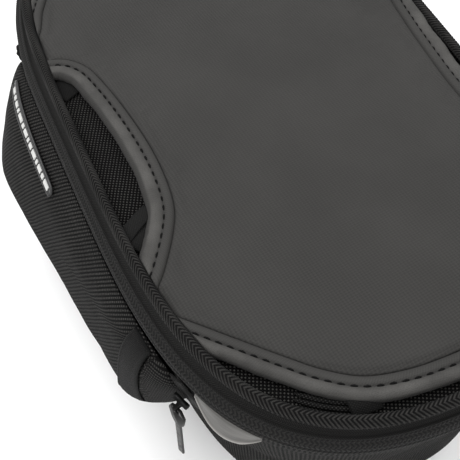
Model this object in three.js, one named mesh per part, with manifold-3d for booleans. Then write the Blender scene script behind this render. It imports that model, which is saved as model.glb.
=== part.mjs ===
// Tank bag for a motorcycle, lying upside down on its lid, so its zip-off base faces up.
// Millimetres, +Z up, origin on the ground under the middle of the bag's box.
// +Y is the far end, where the base and the lid are hinged; the bag is narrower at -Y.
import * as THREE from 'three';
import * as BufferGeometryUtils from 'three/addons/utils/BufferGeometryUtils.js';
import Module from 'manifold-3d';

const wasm = await Module();
wasm.setup();

// ---- driving dimensions ----
const HALF_WIDTH = 108;            // base outline, at the edge piping
const HALF_LENGTH = 194.4;
const SIDE_POWER = 2.612;          // superellipse powers of the outline
const END_POWER = 3.949;
const TAPER = 0.037;               // how much wider the far end is than the middle
const OUTLINE_POINTS = 48;

const PIPING_Z = 146.9;            // height of the edge piping's centre
const PIPING_RADIUS = 2.4;
const ZIP_SIDE = 8.4;             // how far the zip under the base stands out from the piping
const ZIP_END = 6.4;
const LID_SIDE = -15;              // how far the bag draws in at the lid
const LID_END = -19;
const GAP = 0.4;
const OUTLINE_SHIFT = -6.3;        // from the origin to the outline's middle: the handle adds length
const RIM_TOP = 5.6;               // height of the wall's lower edge, above the rim piping
const LID_Z = 8.8;                 // outside of the lid panel, recessed inside the rim

const POCKET_CENTRE_Y = 1;
const POCKET_CENTRE_Z = 84;
const POCKET_HALF_LENGTH = 121.5;
const POCKET_HALF_HEIGHT = 45;
const POCKET_SHEAR = 0.345;        // its middle moves towards the far end, per mm further down
const POCKET_DEPTH_FAR = 42;
const POCKET_DEPTH_NEAR = 25;
const POCKET_NARROWS = 70;         // the depth changes between this far each side of the middle
const POCKET_FULL_Z = 70;          // the depth grows from the top down to here
const POCKET_LIP = 2.6;            // depth of its upper edge
const POCKET_SKIN = 2.4;

const WEBBING = 15;                // width of the pocket webbing

// ---- outline of the bag at any level ----
const sign = Math.sign;
const power = (v, p) => sign(v) * Math.pow(Math.abs(v), p);

function outlineAt(t, side, end) {
  const y = (HALF_LENGTH + end) * power(Math.sin(t), 2 / END_POWER);
  const x = (HALF_WIDTH + side) * power(Math.cos(t), 2 / SIDE_POWER);
  return [x * (1 + TAPER * y / HALF_LENGTH), y];
}

// Half width of a wider outline, at a place along the bag.
function onSide(side, end, y) {
  const inside = 1 - Math.pow(Math.min(Math.abs(y) / (HALF_LENGTH + end), 1), END_POWER);
  return (HALF_WIDTH + side) * Math.pow(inside, 1 / SIDE_POWER) * (1 + TAPER * y / HALF_LENGTH);
}

// Half length of a wider outline, at a distance from the middle, with the taper given there.
function onEnd(side, end, x, taper = 1 - TAPER) {
  const inside = 1 - Math.pow(Math.abs(x) / ((HALF_WIDTH + side) * taper), SIDE_POWER);
  return (HALF_LENGTH + end) * Math.pow(inside, 1 / END_POWER);
}

// Angles that split the base outline into equal lengths.
function evenAngles(count) {
  const fine = 20000;
  const lengths = [0];
  let last = outlineAt(0, 0, 0);
  for (let i = 1; i <= fine; i++) {
    const next = outlineAt(2 * Math.PI * i / fine, 0, 0);
    lengths.push(lengths[i - 1] + Math.hypot(next[0] - last[0], next[1] - last[1]));
    last = next;
  }
  const angles = [];
  let k = 0;
  for (let i = 0; i < count; i++) {
    const want = lengths[fine] * i / count;
    while (lengths[k + 1] < want) k++;
    const part = (want - lengths[k]) / (lengths[k + 1] - lengths[k]);
    angles.push(2 * Math.PI * (k + part) / fine);
  }
  return angles;
}
const ANGLES = evenAngles(OUTLINE_POINTS);

const ring = (side, end) => ANGLES.map((t) => outlineAt(t, side, end));

// ---- the bag's wall: how far it stands out from the piping, by height ----
const WALL = [
  { z: RIM_TOP, side: LID_SIDE - 3, end: LID_END - 3 },
  { z: 14, side: LID_SIDE, end: LID_END },
  { z: 60, side: -9, end: -14 },
  { z: 106, side: 4, end: -5 },
  { z: 124, side: 7.6, end: 4.4 },
  { z: 132.8, side: ZIP_SIDE, end: ZIP_END },
];

function wallAt(z) {
  const last = WALL.length - 1;
  let i = 0;
  while (i < last - 1 && z > WALL[i + 1].z) i++;
  const low = WALL[i];
  const high = WALL[i + 1];
  const part = THREE.MathUtils.clamp((z - low.z) / (high.z - low.z), 0, 1);
  return {
    side: THREE.MathUtils.lerp(low.side, high.side, part),
    end: THREE.MathUtils.lerp(low.end, high.end, part),
  };
}

// Half width of the wall at a height and a place along the bag.
function wallHalfWidth(y, z) {
  const { side, end } = wallAt(z);
  return onSide(side, end, y);
}

// ---- mesh helpers ----
function geometryFrom(positions, triangles) {
  const geometry = new THREE.BufferGeometry();
  geometry.setAttribute('position', new THREE.Float32BufferAttribute(positions, 3));
  geometry.setIndex(triangles);
  geometry.computeVertexNormals();
  return geometry;
}

// A closed ring round the bag. The section is listed anticlockwise, seen with the
// outside of the bag on the right: each point is { side, end, z }.
function ringSolid(section) {
  const positions = [];
  const triangles = [];
  const rows = section.length;
  for (const point of section) {
    for (const [x, y] of ring(point.side, point.end)) positions.push(x, y, point.z);
  }
  for (let r = 0; r < rows; r++) {
    const next = (r + 1) % rows;
    for (let i = 0; i < OUTLINE_POINTS; i++) {
      const j = (i + 1) % OUTLINE_POINTS;
      const [a, b] = [r * OUTLINE_POINTS + i, r * OUTLINE_POINTS + j];
      const [c, d] = [next * OUTLINE_POINTS + i, next * OUTLINE_POINTS + j];
      triangles.push(a, b, d, a, d, c);
    }
  }
  return geometryFrom(positions, triangles);
}

// A round cord along the outline.
function cordRing(side, end, z, radius, sides = 6) {
  const section = [];
  for (let i = 0; i < sides; i++) {
    const angle = 2 * Math.PI * (i + 0.5) / sides;
    const out = radius * Math.cos(angle);
    section.push({ side: side + out, end: end + out, z: z + radius * Math.sin(angle) });
  }
  return ringSolid(section);
}

// A wall of even thickness between two depths under the bag's outside.
function wallRing(outer, inner, low, high) {
  const levels = WALL.map((level) => level.z).filter((z) => z > low && z < high);
  const heights = [low, ...levels, high];
  const at = (depth) => (z) => {
    const { side, end } = wallAt(z);
    return { side: side - depth, end: end - depth, z };
  };
  return ringSolid([...heights.map(at(outer)), ...heights.reverse().map(at(inner))]);
}

function shapeFrom(points) {
  return new THREE.Shape(points.map(([x, y]) => new THREE.Vector2(x, y)));
}

// A flat plate of any outline between two heights.
function plate(points, low, high) {
  const geometry = new THREE.ExtrudeGeometry(shapeFrom(points), {
    depth: high - low,
    bevelEnabled: false,
    curveSegments: 6,
  });
  return geometry.translate(0, 0, low);
}

const box = (x, y, z) => new THREE.BoxGeometry(x, y, z);

// ---- boolean helpers ----
function toManifold(geometry) {
  const bare = geometry.clone();
  bare.deleteAttribute('normal');
  bare.deleteAttribute('uv');
  const merged = BufferGeometryUtils.mergeVertices(bare, 1e-4);
  return new wasm.Manifold(new wasm.Mesh({
    numProp: 3,
    vertProperties: new Float32Array(merged.attributes.position.array),
    triVerts: new Uint32Array(merged.index.array),
  }));
}

function fromManifold(solid) {
  const mesh = solid.getMesh();
  return geometryFrom(Array.from(mesh.vertProperties), Array.from(mesh.triVerts));
}

const join = (a, b) => fromManifold(toManifold(a).add(toManifold(b)));
const cut = (a, b) => fromManifold(toManifold(a).subtract(toManifold(b)));
const common = (a, b) => fromManifold(toManifold(a).intersect(toManifold(b)));

// ---- materials ----
const finish = (color, roughness, metalness = 0) =>
  new THREE.MeshStandardMaterial({ color, roughness, metalness });

const BALLISTIC = finish(0x262524, 0.8);
const RIB_WEAVE = finish(0x33312f, 0.85);
const GRIP = finish(0x464442, 0.7);
const BINDING = finish(0x575553, 0.75);
const TAPE = finish(0x2a2928, 0.85);
const TRIM = finish(0x3b3937, 0.8);
const STRAP = finish(0x222120, 0.8);
const LINING = finish(0x6b6a68, 0.8);
const FOAM = finish(0x8b8a86, 0.95);
const BOARD = finish(0x1d1d1d, 0.6);
const REFLECTOR = finish(0xb4b0ab, 0.35, 0.4);
const LABEL = finish(0x1f1f1f, 0.55);
const SLIDER = finish(0x0c0c0c, 0.2, 0.6);
const CLEAR = finish(0xdfe4e6, 0.1);

const bag = new THREE.Group();
bag.position.y = OUTLINE_SHIFT;

function add(name, geometry, material, position = [0, 0, 0], turn = [0, 0, 0]) {
  const mesh = new THREE.Mesh(geometry, material);
  mesh.name = name;
  mesh.position.set(...position);
  mesh.rotation.set(...turn);
  bag.add(mesh);
  return mesh;
}

// ---- bag body: outer wall, foam, lining and floor ----
const WALL_TOP = 132.8;
const SHELL = 1.6;
const FOAM_THICKNESS = 4;
const LINING_THICKNESS = 0.8;
const FOAM_IN = SHELL + GAP;
const LINING_IN = FOAM_IN + FOAM_THICKNESS + GAP;

function addBody() {
  add('main_shell', wallRing(0, SHELL, RIM_TOP, WALL_TOP), RIB_WEAVE);
  add('wall_foam', wallRing(FOAM_IN, FOAM_IN + FOAM_THICKNESS, 19, 122), FOAM);
  add('wall_lining', wallRing(LINING_IN, LINING_IN + LINING_THICKNESS, 19, 122), LINING);
  add('floor_fabric', plate(ring(4, -4), 129.6, 131), RIB_WEAVE);
  add('floor_board', plate(ring(2, -6), 126.4, 129.2), BOARD);
  add('floor_lining', plate(ring(1, -7), 125, 126), LINING);
}

// ---- zip between base and bag: the chain stays with the bag ----
const ZIP_MIDDLE = 135.2;
const ZIP_HALF_HEIGHT = 1.6;

function addBaseZip() {
  const at = (out, up) => ({ side: ZIP_SIDE + out, end: ZIP_END + out, z: ZIP_MIDDLE + up });
  add('base_zip_chain', ringSolid([
    at(0.9, -ZIP_HALF_HEIGHT), at(1.4, 0), at(0.9, ZIP_HALF_HEIGHT),
    at(-1.6, ZIP_HALF_HEIGHT), at(-1.6, -ZIP_HALF_HEIGHT),
  ]), TRIM);
}

// ---- lid side: rim piping, border, lid panel with its map window ----
const LID_EDGE = LID_SIDE - 3;
const LID_EDGE_END = LID_END - 3;
const RIM_RADIUS = 2.6;
const RIM_SIDES = 8;
const RIM_Z = RIM_RADIUS * Math.cos(Math.PI / RIM_SIDES);
const BORDER_WIDTH = 12;
const LID_GAP = BORDER_WIDTH + 5;

// A flat ring on the lid side, between two distances in from the bag's lower edge.
function lidRing(from, to, low, high) {
  const at = (inset, z) => ({ side: LID_EDGE - inset, end: LID_EDGE_END - inset, z });
  return ringSolid([at(from, low), at(from, high), at(to, high), at(to, low)]);
}

function addRim() {
  add('lid_rim_piping', cordRing(LID_EDGE - 3, LID_EDGE_END - 3, RIM_Z, RIM_RADIUS, RIM_SIDES), TRIM);
  add('lid_border', lidRing(2.2, BORDER_WIDTH, LID_Z, LID_Z + 1.4), BALLISTIC);
  add('lid_zip_chain', lidRing(BORDER_WIDTH + GAP, LID_GAP - GAP, LID_Z - 0.4, LID_Z + 1.8), TRIM);
}

const WINDOW_HALF_WIDTH = 58;
const WINDOW_HALF_LENGTH = 112;

function roundedRectangle(halfX, halfY, radius, centreY = 0, steps = 4) {
  const points = [];
  const corners = [[1, 1], [-1, 1], [-1, -1], [1, -1]];
  corners.forEach(([sx, sy], k) => {
    for (let i = 0; i <= steps; i++) {
      const angle = Math.PI / 2 * (k + i / steps);
      points.push([
        sx * (halfX - radius) + radius * Math.cos(angle),
        sy * (halfY - radius) + radius * Math.sin(angle) + centreY,
      ]);
    }
  });
  return points;
}

function addLid() {
  const panel = (inset, low, thick) =>
    plate(ring(LID_EDGE - LID_GAP - inset, LID_EDGE_END - LID_GAP - inset), low, low + thick);
  add('lid_panel', panel(0, LID_Z, 1.6), BALLISTIC);
  add('lid_foam', panel(3, LID_Z + 2, 5), FOAM);
  add('lid_lining', panel(2, LID_Z + 7.4, 0.8), LINING);
  const outer = roundedRectangle(WINDOW_HALF_WIDTH, WINDOW_HALF_LENGTH, 18);
  const inner = roundedRectangle(WINDOW_HALF_WIDTH - 9, WINDOW_HALF_LENGTH - 9, 12);
  const frame = shapeFrom(outer);
  frame.holes.push(new THREE.Path(inner.map(([x, y]) => new THREE.Vector2(x, y))));
  const binding = new THREE.ExtrudeGeometry(frame, { depth: 1.6, bevelEnabled: false });
  add('map_window_binding', binding.translate(0, 0, LID_Z - 3.2), BINDING);
  const sheet = roundedRectangle(WINDOW_HALF_WIDTH - 3, WINDOW_HALF_LENGTH - 3, 15);
  add('map_window', plate(sheet, LID_Z - 1.3, LID_Z - 0.4), CLEAR);
}

// ---- base: stiff board, woven cover, hourglass grip pad and its bindings ----
const BASE_FABRIC_TOP = 142.2;
const PAD_LOW = 145;
const PAD_HIGH = 148.4;
const BINDING_WIDTH = 12;

// Left scoop of the grip pad, from the far end to the near end, at the seam line.
const LEFT_SCOOP = [
  [-128, 71], [-105, 67.5], [-95.5, 64], [-87, 54], [-81.5, 35], [-76.5, 4],
  [-74.5, -22], [-75.5, -46], [-78, -58.5], [-82, -68], [-90, -82], [-100, -96], [-128, -121],
];
// Right scoop: the same kind of cut, but shallow.
const RIGHT_SCOOP = [
  [128, 84], [106, 66], [97, 46], [93.5, 22], [91, -7], [89.5, -37],
  [91, -64], [96, -86], [108, -103], [128, -118],
];
// Half of each end cut, from the side to the middle.
const NEAR_CUT = [
  [-128, -86], [-99.5, -112], [-80, -132], [-61.5, -151], [-51, -161], [-37, -170.3],
  [-19, -174.7], [0, -175.7],
];
const FAR_CUT = [
  [-128, 74], [-106, 88], [-96, 112], [-80, 141], [-62, 162], [-44, 171.5], [-22, 174.5], [0, 175],
];

function smooth(points, steps) {
  const flat = points.map(([x, y]) => new THREE.Vector3(x, y, 0));
  const curve = new THREE.CatmullRomCurve3(flat, false, 'centripetal');
  return curve.getSpacedPoints(steps).map((p) => [p.x, p.y]);
}

const mirrored = (points) => points.map(([x, y]) => [-x, y]).reverse();

// Points moved sideways from a line, to its left as it runs.
function shifted(points, distance) {
  return points.map(([x, y], i) => {
    const before = points[Math.max(i - 1, 0)];
    const after = points[Math.min(i + 1, points.length - 1)];
    const length = Math.hypot(after[0] - before[0], after[1] - before[1]);
    const nx = -(after[1] - before[1]) / length;
    const ny = (after[0] - before[0]) / length;
    return [x + nx * distance, y + ny * distance];
  });
}

const SCOOP_STEPS = 18;
const END_STEPS = 24;
const leftScoop = smooth(LEFT_SCOOP, SCOOP_STEPS);
const rightScoop = smooth(RIGHT_SCOOP, SCOOP_STEPS).reverse();
const nearCut = smooth([...NEAR_CUT, ...mirrored(NEAR_CUT).slice(1)], END_STEPS);
const farCut = smooth([...FAR_CUT, ...mirrored(FAR_CUT).slice(1)], END_STEPS).reverse();

// Everything beyond a cut line, as a solid to take away: the line and a far-off corner.
function beyond(line, corners) {
  return plate([...line, ...corners], PAD_LOW - 2, PAD_HIGH + 2);
}

const WIDE = 260;
const CUTS = {
  left: { line: leftScoop, corners: [[-WIDE, -118], [-WIDE, 56]] },
  right: { line: rightScoop, corners: [[WIDE, 86], [WIDE, -118]] },
  near: { line: nearCut, corners: [[WIDE, -88], [WIDE, -WIDE], [-WIDE, -WIDE], [-WIDE, -88]] },
  far: { line: farCut, corners: [[-WIDE, 74], [-WIDE, WIDE], [WIDE, WIDE], [WIDE, 74]] },
};

function addPad() {
  const inside = plate(ring(-PIPING_RADIUS - 0.6, -PIPING_RADIUS - 0.6), PAD_LOW, PAD_HIGH);
  let pad = inside;
  for (const { line, corners } of Object.values(CUTS)) pad = cut(pad, beyond(line, corners));
  add('grip_pad', pad, GRIP);
  for (const [name, { line }] of Object.entries(CUTS)) {
    const inner = shifted(line, -GAP);
    const outer = shifted(line, -BINDING_WIDTH);
    const band = plate([...outer, ...inner.reverse()], PAD_LOW, PAD_HIGH - 0.2);
    add(`${name}_binding`, common(band, inside), BINDING);
  }
}

function addBase() {
  add('base_side_tape', ringSolid([
    { side: ZIP_SIDE, end: ZIP_END, z: 137.2 },
    { side: ZIP_SIDE * 0.62, end: ZIP_END * 0.62, z: 141.6 },
    { side: 1.2, end: 0.6, z: 144.2 },
    { side: -0.8, end: -1.2, z: 143.4 },
    { side: ZIP_SIDE * 0.62 - 2, end: ZIP_END * 0.62 - 2, z: 140 },
    { side: ZIP_SIDE - 2, end: ZIP_END - 2, z: 137.2 },
  ]), TAPE);
  add('edge_piping', cordRing(0, 0, PIPING_Z, PIPING_RADIUS), TRIM);
  add('base_fabric', plate(ring(-3, -3), BASE_FABRIC_TOP - 1.4, BASE_FABRIC_TOP), BALLISTIC);
  add('base_board', plate(ring(-4, -4), BASE_FABRIC_TOP - 4.6, BASE_FABRIC_TOP - 1.8), BOARD);
}

// Webbing pieces sewn in the openings, where the mounting straps fasten.
const STRAP_LAYER = 1.5;
const ANCHORS = [
  { name: 'left_far_anchor', x: -98, y: 36, long: 20, wide: 13, turn: -0.25, high: 1 },
  { name: 'left_near_anchor', x: -94, y: -72, long: 30, wide: 13, turn: 0.25, high: 1.5 },
  { name: 'right_far_anchor', x: 100, y: 44, long: 14, wide: 5, turn: 0, high: 1 },
  { name: 'right_near_anchor', x: 100, y: -80, long: 14, wide: 5, turn: 0, high: 1 },
  { name: 'near_strap_tab', x: -46, y: -179, long: 8, wide: 11, turn: 0, high: 1.5 },
  { name: 'far_strap_tab', x: 46, y: 179, long: 8, wide: 11, turn: 0, high: 1.5 },
];

function addAnchors() {
  for (const { name, x, y, long, wide, turn, high } of ANCHORS) {
    const thick = STRAP_LAYER * high;
    const z = BASE_FABRIC_TOP + GAP + thick / 2;
    add(name, box(wide, long, thick), STRAP, [x, y, z], [0, 0, turn]);
  }
}

// ---- side pockets ----
const POCKET_SEGMENTS = 32;
const POCKET_RINGS = 6;

const pocketCorner = (up) => (up ? 0.3 : 0.5);
const FAR_POWER = 5;               // how squarely the pocket's two ends drop to the wall
const NEAR_POWER = 14;
const POCKET_GAP = 1.2;

const pocketMiddle = (z) => POCKET_CENTRE_Y + POCKET_SHEAR * (POCKET_CENTRE_Z - z);

// The pocket's outline on the wall, grown by out and scaled by s. Its upper corners are squarer.
function pocketOutline(angle, out, s = 1) {
  const square = pocketCorner(Math.sin(angle) > 0);
  const z = POCKET_CENTRE_Z + s * (POCKET_HALF_HEIGHT + out) * power(Math.sin(angle), square);
  const y = pocketMiddle(z) + s * (POCKET_HALF_LENGTH + out) * power(Math.cos(angle), square);
  return [y, z];
}

// How deep the pocket is before its edges round off: a wedge that grows downwards.
function pocketDepth(y, z) {
  const top = POCKET_CENTRE_Z + POCKET_HALF_HEIGHT;
  const grown = THREE.MathUtils.clamp((top - z) / (top - POCKET_FULL_Z), 0, 1);
  const far = THREE.MathUtils.clamp(0.5 + 0.5 * y / POCKET_NARROWS, 0, 1);
  const full = THREE.MathUtils.lerp(POCKET_DEPTH_NEAR, POCKET_DEPTH_FAR, far);
  return full * Math.pow(grown, 0.8) + POCKET_LIP;
}

// 1 at the pocket's middle and 0 at its rim. near is 1 towards the near end.
function pocketProfile(s, near) {
  return Math.sqrt(1 - Math.pow(s, THREE.MathUtils.lerp(FAR_POWER, NEAR_POWER, near)));
}

// A point of a pocket: s is 0 at its middle and 1 at its rim, depth is under its outside.
function pocketPoint(s, angle, depth, sideSign) {
  const [y, z] = pocketOutline(angle, -depth, s);
  const bulge = (pocketDepth(y, z) - depth) * pocketProfile(s, Math.max(0, -Math.cos(angle)));
  return [sideSign * (wallHalfWidth(y, z) + POCKET_GAP + bulge), y, z];
}

function pocketShell(sideSign) {
  const positions = [];
  const triangles = [];
  const rows = [];
  const start = (depth) => {
    positions.push(...pocketPoint(0, 0, depth, sideSign));
    return positions.length / 3 - 1;
  };
  const row = (s, depth) => {
    const first = positions.length / 3;
    for (let i = 0; i < POCKET_SEGMENTS; i++) {
      const angle = 2 * Math.PI * (i + 0.5) / POCKET_SEGMENTS;
      positions.push(...pocketPoint(s, angle, depth, sideSign));
    }
    rows.push(first);
  };
  const steps = Array.from({ length: POCKET_RINGS }, (_, k) => Math.pow((k + 1) / POCKET_RINGS, 0.6));
  const top = start(0);
  for (const s of steps) row(s, 0);
  for (const s of [...steps].reverse()) row(s, POCKET_SKIN);
  const bottom = start(POCKET_SKIN);
  const face = (a, b, c) => triangles.push(...(sideSign > 0 ? [a, b, c] : [a, c, b]));
  for (let i = 0; i < POCKET_SEGMENTS; i++) {
    const j = (i + 1) % POCKET_SEGMENTS;
    face(top, rows[0] + i, rows[0] + j);
    for (let r = 0; r + 1 < rows.length; r++) {
      face(rows[r] + i, rows[r + 1] + i, rows[r + 1] + j);
      face(rows[r] + i, rows[r + 1] + j, rows[r] + j);
    }
    face(bottom, rows[rows.length - 1] + j, rows[rows.length - 1] + i);
  }
  return geometryFrom(positions, triangles);
}

// The pocket's outside at a place along the bag and a height.
function pocketOutside(y, z) {
  const along = Math.abs(y - pocketMiddle(z)) / POCKET_HALF_LENGTH;
  const up = Math.abs(z - POCKET_CENTRE_Z) / POCKET_HALF_HEIGHT;
  const corner = pocketCorner(z > POCKET_CENTRE_Z);
  const s = Math.pow(Math.pow(along, 2 / corner) + Math.pow(up, 2 / corner), corner / 2);
  const near = y < pocketMiddle(z) ? Math.pow(along / s, 1 / corner) : 0;
  const bulge = pocketDepth(y, z) * pocketProfile(Math.min(s, 0.999), near);
  return wallHalfWidth(y, z) + POCKET_GAP + bulge;
}

// A closed strip through a list of four-cornered sections.
function stripSolid(sections) {
  const triangles = [];
  for (let i = 0; i + 1 < sections.length; i++) {
    for (let k = 0; k < 4; k++) {
      const [a, b] = [4 * i + k, 4 * i + (k + 1) % 4];
      triangles.push(a, b + 4, b, a, a + 4, b + 4);
    }
  }
  const end = 4 * (sections.length - 1);
  triangles.push(0, 2, 3, 0, 1, 2, end, end + 2, end + 1, end, end + 3, end + 2);
  return geometryFrom(sections.flat(2), triangles);
}

// Webbing over the pocket's outside, from its top to its underside, at one place along the bag.
const WEBBING_Y = -104.5;           // its middle at its upper end
const WEBBING_SLANT = 0.12;        // how far it drifts towards the far end, per mm down
const WEBBING_LOW = 56;
const WEBBING_HIGH = 126;
const WEBBING_STEPS = 14;

function webbingStrip() {
  const sections = [];
  const corners = [[0.5, 3.4], [0.5, 4.9], [-0.5, 4.9], [-0.5, 3.4]];
  for (let i = 0; i <= WEBBING_STEPS; i++) {
    const z = THREE.MathUtils.lerp(WEBBING_LOW, WEBBING_HIGH, i / WEBBING_STEPS);
    sections.push(corners.map(([across, lift]) => {
      const y = WEBBING_Y + WEBBING_SLANT * (WEBBING_HIGH - z) + across * WEBBING;
      return [pocketOutside(y, z) + lift, y, z];
    }));
  }
  return stripSolid(sections);
}

// Where the zip runs round a pocket: a flat U of tape on the wall, open at the top.
const ZIP_STEPS = 26;
const ZIP_ENDS = 0.66;             // how far past the level its two ends climb, in radians

function pocketZip() {
  const sections = [];
  for (let i = 0; i <= ZIP_STEPS; i++) {
    const angle = Math.PI - ZIP_ENDS + (Math.PI + 2 * ZIP_ENDS) * i / ZIP_STEPS;
    sections.push([[0.6, 0.8], [9, 0.8], [9, 2.6], [0.6, 2.6]].map(([out, lift]) => {
      const [y, z] = pocketOutline(angle, out);
      return [wallHalfWidth(y, z) + lift, y, z];
    }));
  }
  return stripSolid(sections);
}

// The same solid on the other side of the bag.
function mirrorX(geometry) {
  const copy = geometry.clone().scale(-1, 1, 1);
  const index = copy.index ?? new THREE.BufferAttribute(
    Uint32Array.from({ length: copy.attributes.position.count }, (_, i) => i), 1);
  const turned = [];
  for (let i = 0; i < index.count; i += 3) {
    turned.push(index.getX(i), index.getX(i + 2), index.getX(i + 1));
  }
  copy.setIndex(turned);
  return copy;
}

const LABEL_CENTRE_Y = 47;
const LABEL_LENGTH = 92;
const LABEL_LOW = 112.8;
const LABEL_HIGH = 119.2;

// The raised label on a pocket: a thin strip that follows the pocket's outside.
function labelStrip() {
  const sections = [];
  const steps = 8;
  const corners = [[LABEL_LOW, 0.9], [LABEL_HIGH, 0.9], [LABEL_HIGH, 2.3], [LABEL_LOW, 2.3]];
  for (let i = 0; i <= steps; i++) {
    const y = LABEL_CENTRE_Y + LABEL_LENGTH * (0.5 - i / steps);
    sections.push(corners.map(([z, lift]) => [pocketOutside(y, z) + lift, y, z]));
  }
  return stripSolid(sections);
}

function addPockets() {
  const zip = pocketZip();
  const webbing = webbingStrip();
  const label = labelStrip();
  add('right_pocket_zip', zip, TAPE);
  add('left_pocket_zip', mirrorX(zip), TAPE);
  add('right_pocket_cover', pocketShell(1), RIB_WEAVE);
  add('left_pocket_cover', pocketShell(-1), RIB_WEAVE);
  add('right_pocket_webbing', webbing, STRAP);
  add('left_pocket_webbing', mirrorX(webbing), STRAP);
  add('right_pocket_label', label, LABEL);
  add('left_pocket_label', mirrorX(label), LABEL);
}

// ---- reflective lens on each near corner, just under the base zip ----
const REFLECTOR_STEPS = 12;
const REFLECTOR_TOP = 131.8;
const REFLECTOR_FROM = 0.52;       // from the middle of the side round to its first tip, in radians
const REFLECTOR_SPAN = 0.34;
const REFLECTOR_HEIGHT = 11;

function reflector() {
  const sections = [];
  for (let i = 0; i <= REFLECTOR_STEPS; i++) {
    const part = i / REFLECTOR_STEPS;
    const angle = 2 * Math.PI - REFLECTOR_FROM - REFLECTOR_SPAN * part;
    const drop = 1.5 + REFLECTOR_HEIGHT * Math.pow(Math.sin(Math.PI * part), 0.8);
    const corners = [[-drop, 1.6], [0, 1.6], [0, 2.4], [-drop, 2.4]];
    sections.push(corners.map(([down, lift]) => {
      const z = REFLECTOR_TOP + down;
      const { side, end } = wallAt(z);
      return [...outlineAt(angle, side + lift, end + lift), z];
    }));
  }
  return stripSolid(sections);
}

// ---- carry handle on the far end ----
const HANDLE_WIDTH = 24;
const HANDLE_BOW = 22;
const HANDLE_Z = 104;
const HANDLE_FOOT = 46;            // from the middle to where the strap leaves the wall
const HANDLE_END = 62;
const HANDLE_LEAN = -0.24;         // it follows the wall, which leans outward going up

// Where the far wall is at a distance from the middle, at the handle's height.
function farWall(x) {
  const { side, end } = wallAt(HANDLE_Z);
  return onEnd(side, end, x, 1 + TAPER);
}

function addHandle() {
  const middle = farWall(0);
  const half = [[0, HANDLE_BOW], [28, HANDLE_BOW * 0.72],
    [HANDLE_FOOT, farWall(HANDLE_FOOT) - middle + 3], [HANDLE_END, farWall(HANDLE_END) - middle + 2]];
  const curve = smooth([...mirrored(half), ...half.slice(1)], 20);
  const band = (low, high, reach) =>
    plate([...shifted(curve, low), ...shifted(curve, high).reverse()], -reach, reach);
  const strap = band(4, 6.4, HANDLE_WIDTH / 2);
  const sleeve = cut(band(2, 8.4, HANDLE_WIDTH / 2 + 3), band(3.7, 6.7, HANDLE_WIDTH / 2 + GAP));
  const patches = band(6.8, 8.8, HANDLE_WIDTH / 2 + 3);
  const place = [[0, middle, HANDLE_Z], [HANDLE_LEAN, 0, 0]];
  add('carry_handle', strap, STRAP, ...place);
  add('handle_sleeve', common(sleeve, box(64, 200, 60)), GRIP, ...place);
  for (const [name, side] of [['handle_patch_left', -1], ['handle_patch_right', 1]]) {
    const reach = box(16, 200, 60).translate(side * (HANDLE_FOOT + 8), 0, 0);
    add(name, common(patches, reach), STRAP, ...place);
  }
}

// ---- zip sliders and their pulls ----
// In their own frame: +Y along the zip, +Z out of it, pull towards +Y.
const SLIDER_OUTLINE = [[-4.4, -6], [-2, -7.4], [2, -7.4], [4.4, -6], [3.4, 6], [-3.4, 6]];
const BAIL_PROFILE = [[-4.5, 3], [-4.5, 6.2], [-3.2, 7.3], [3.2, 7.3], [4.5, 6.2], [4.5, 3],
  [3.2, 3], [3.2, 5.9], [2.6, 6.3], [-2.6, 6.3], [-3.2, 5.9], [-3.2, 3]];
const BAIL_WIDTH = 1.8;
const SLIDER_LOW = 0.4;
const SLIDER_HIGH = 3.3;
const PULL_PIN_Y = 2;
const PULL_PIN_Z = 5.3;
const PULL_THICKNESS = 1.2;

// The bail stands along the zip, or across it.
function sliderBody(across) {
  const bail = plate(BAIL_PROFILE, -BAIL_WIDTH / 2, BAIL_WIDTH / 2);
  bail.rotateX(Math.PI / 2).rotateZ(across ? Math.PI : Math.PI / 2);
  return join(plate(SLIDER_OUTLINE, SLIDER_LOW, SLIDER_HIGH), bail);
}

// A pull whose widths are given from the slider outwards: [distance, half width].
function pullBody(widths) {
  const right = widths.map(([y, half]) => [half, y]);
  const left = widths.map(([y, half]) => [-half, y]).reverse();
  const shape = shapeFrom([...right, ...left]);
  const hole = [[-1.6, 0.8], [1.6, 0.8], [1.6, 3.6], [-1.6, 3.6]];
  shape.holes.push(new THREE.Path(hole.map(([x, y]) => new THREE.Vector2(x, y))));
  const pull = new THREE.ExtrudeGeometry(shape, { depth: PULL_THICKNESS, bevelEnabled: false });
  return pull.translate(0, 0, -PULL_THICKNESS / 2);
}

const SHORT_PULL = [[-0.7, 2.6], [4.4, 3.4], [18, 3.4], [21, 2]];
const LONG_PULL = [[-0.7, 3], [5, 5.4], [13, 4], [17, 1.9], [48, 1.9]];

// Places a slider at a point of a zip. Its pull lies along the zip or across it, or hangs down.
function addSlider(name, point, out, along, widths, { across = false, hanging = false } = {}) {
  const z = new THREE.Vector3(...out).normalize();
  const y = new THREE.Vector3(...along);
  y.addScaledVector(z, -y.dot(z)).normalize();
  const turn = new THREE.Matrix4().makeBasis(new THREE.Vector3().crossVectors(y, z), y, z);
  const body = add(`${name}_slider`, sliderBody(across), SLIDER, point);
  body.setRotationFromMatrix(turn);
  if (across) turn.multiply(new THREE.Matrix4().makeRotationZ(Math.PI / 2));
  const pin = new THREE.Vector3(0, PULL_PIN_Y, PULL_PIN_Z).applyMatrix4(turn);
  pin.add(new THREE.Vector3(...point));
  if (hanging) {
    const down = new THREE.Vector3(0, 0, -1);
    z.addScaledVector(down, -z.dot(down)).normalize();
    turn.makeBasis(new THREE.Vector3().crossVectors(down, z), down, z);
  }
  const pull = add(`${name}_pull`, pullBody(widths), SLIDER, pin.toArray());
  pull.setRotationFromMatrix(turn);
}

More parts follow.
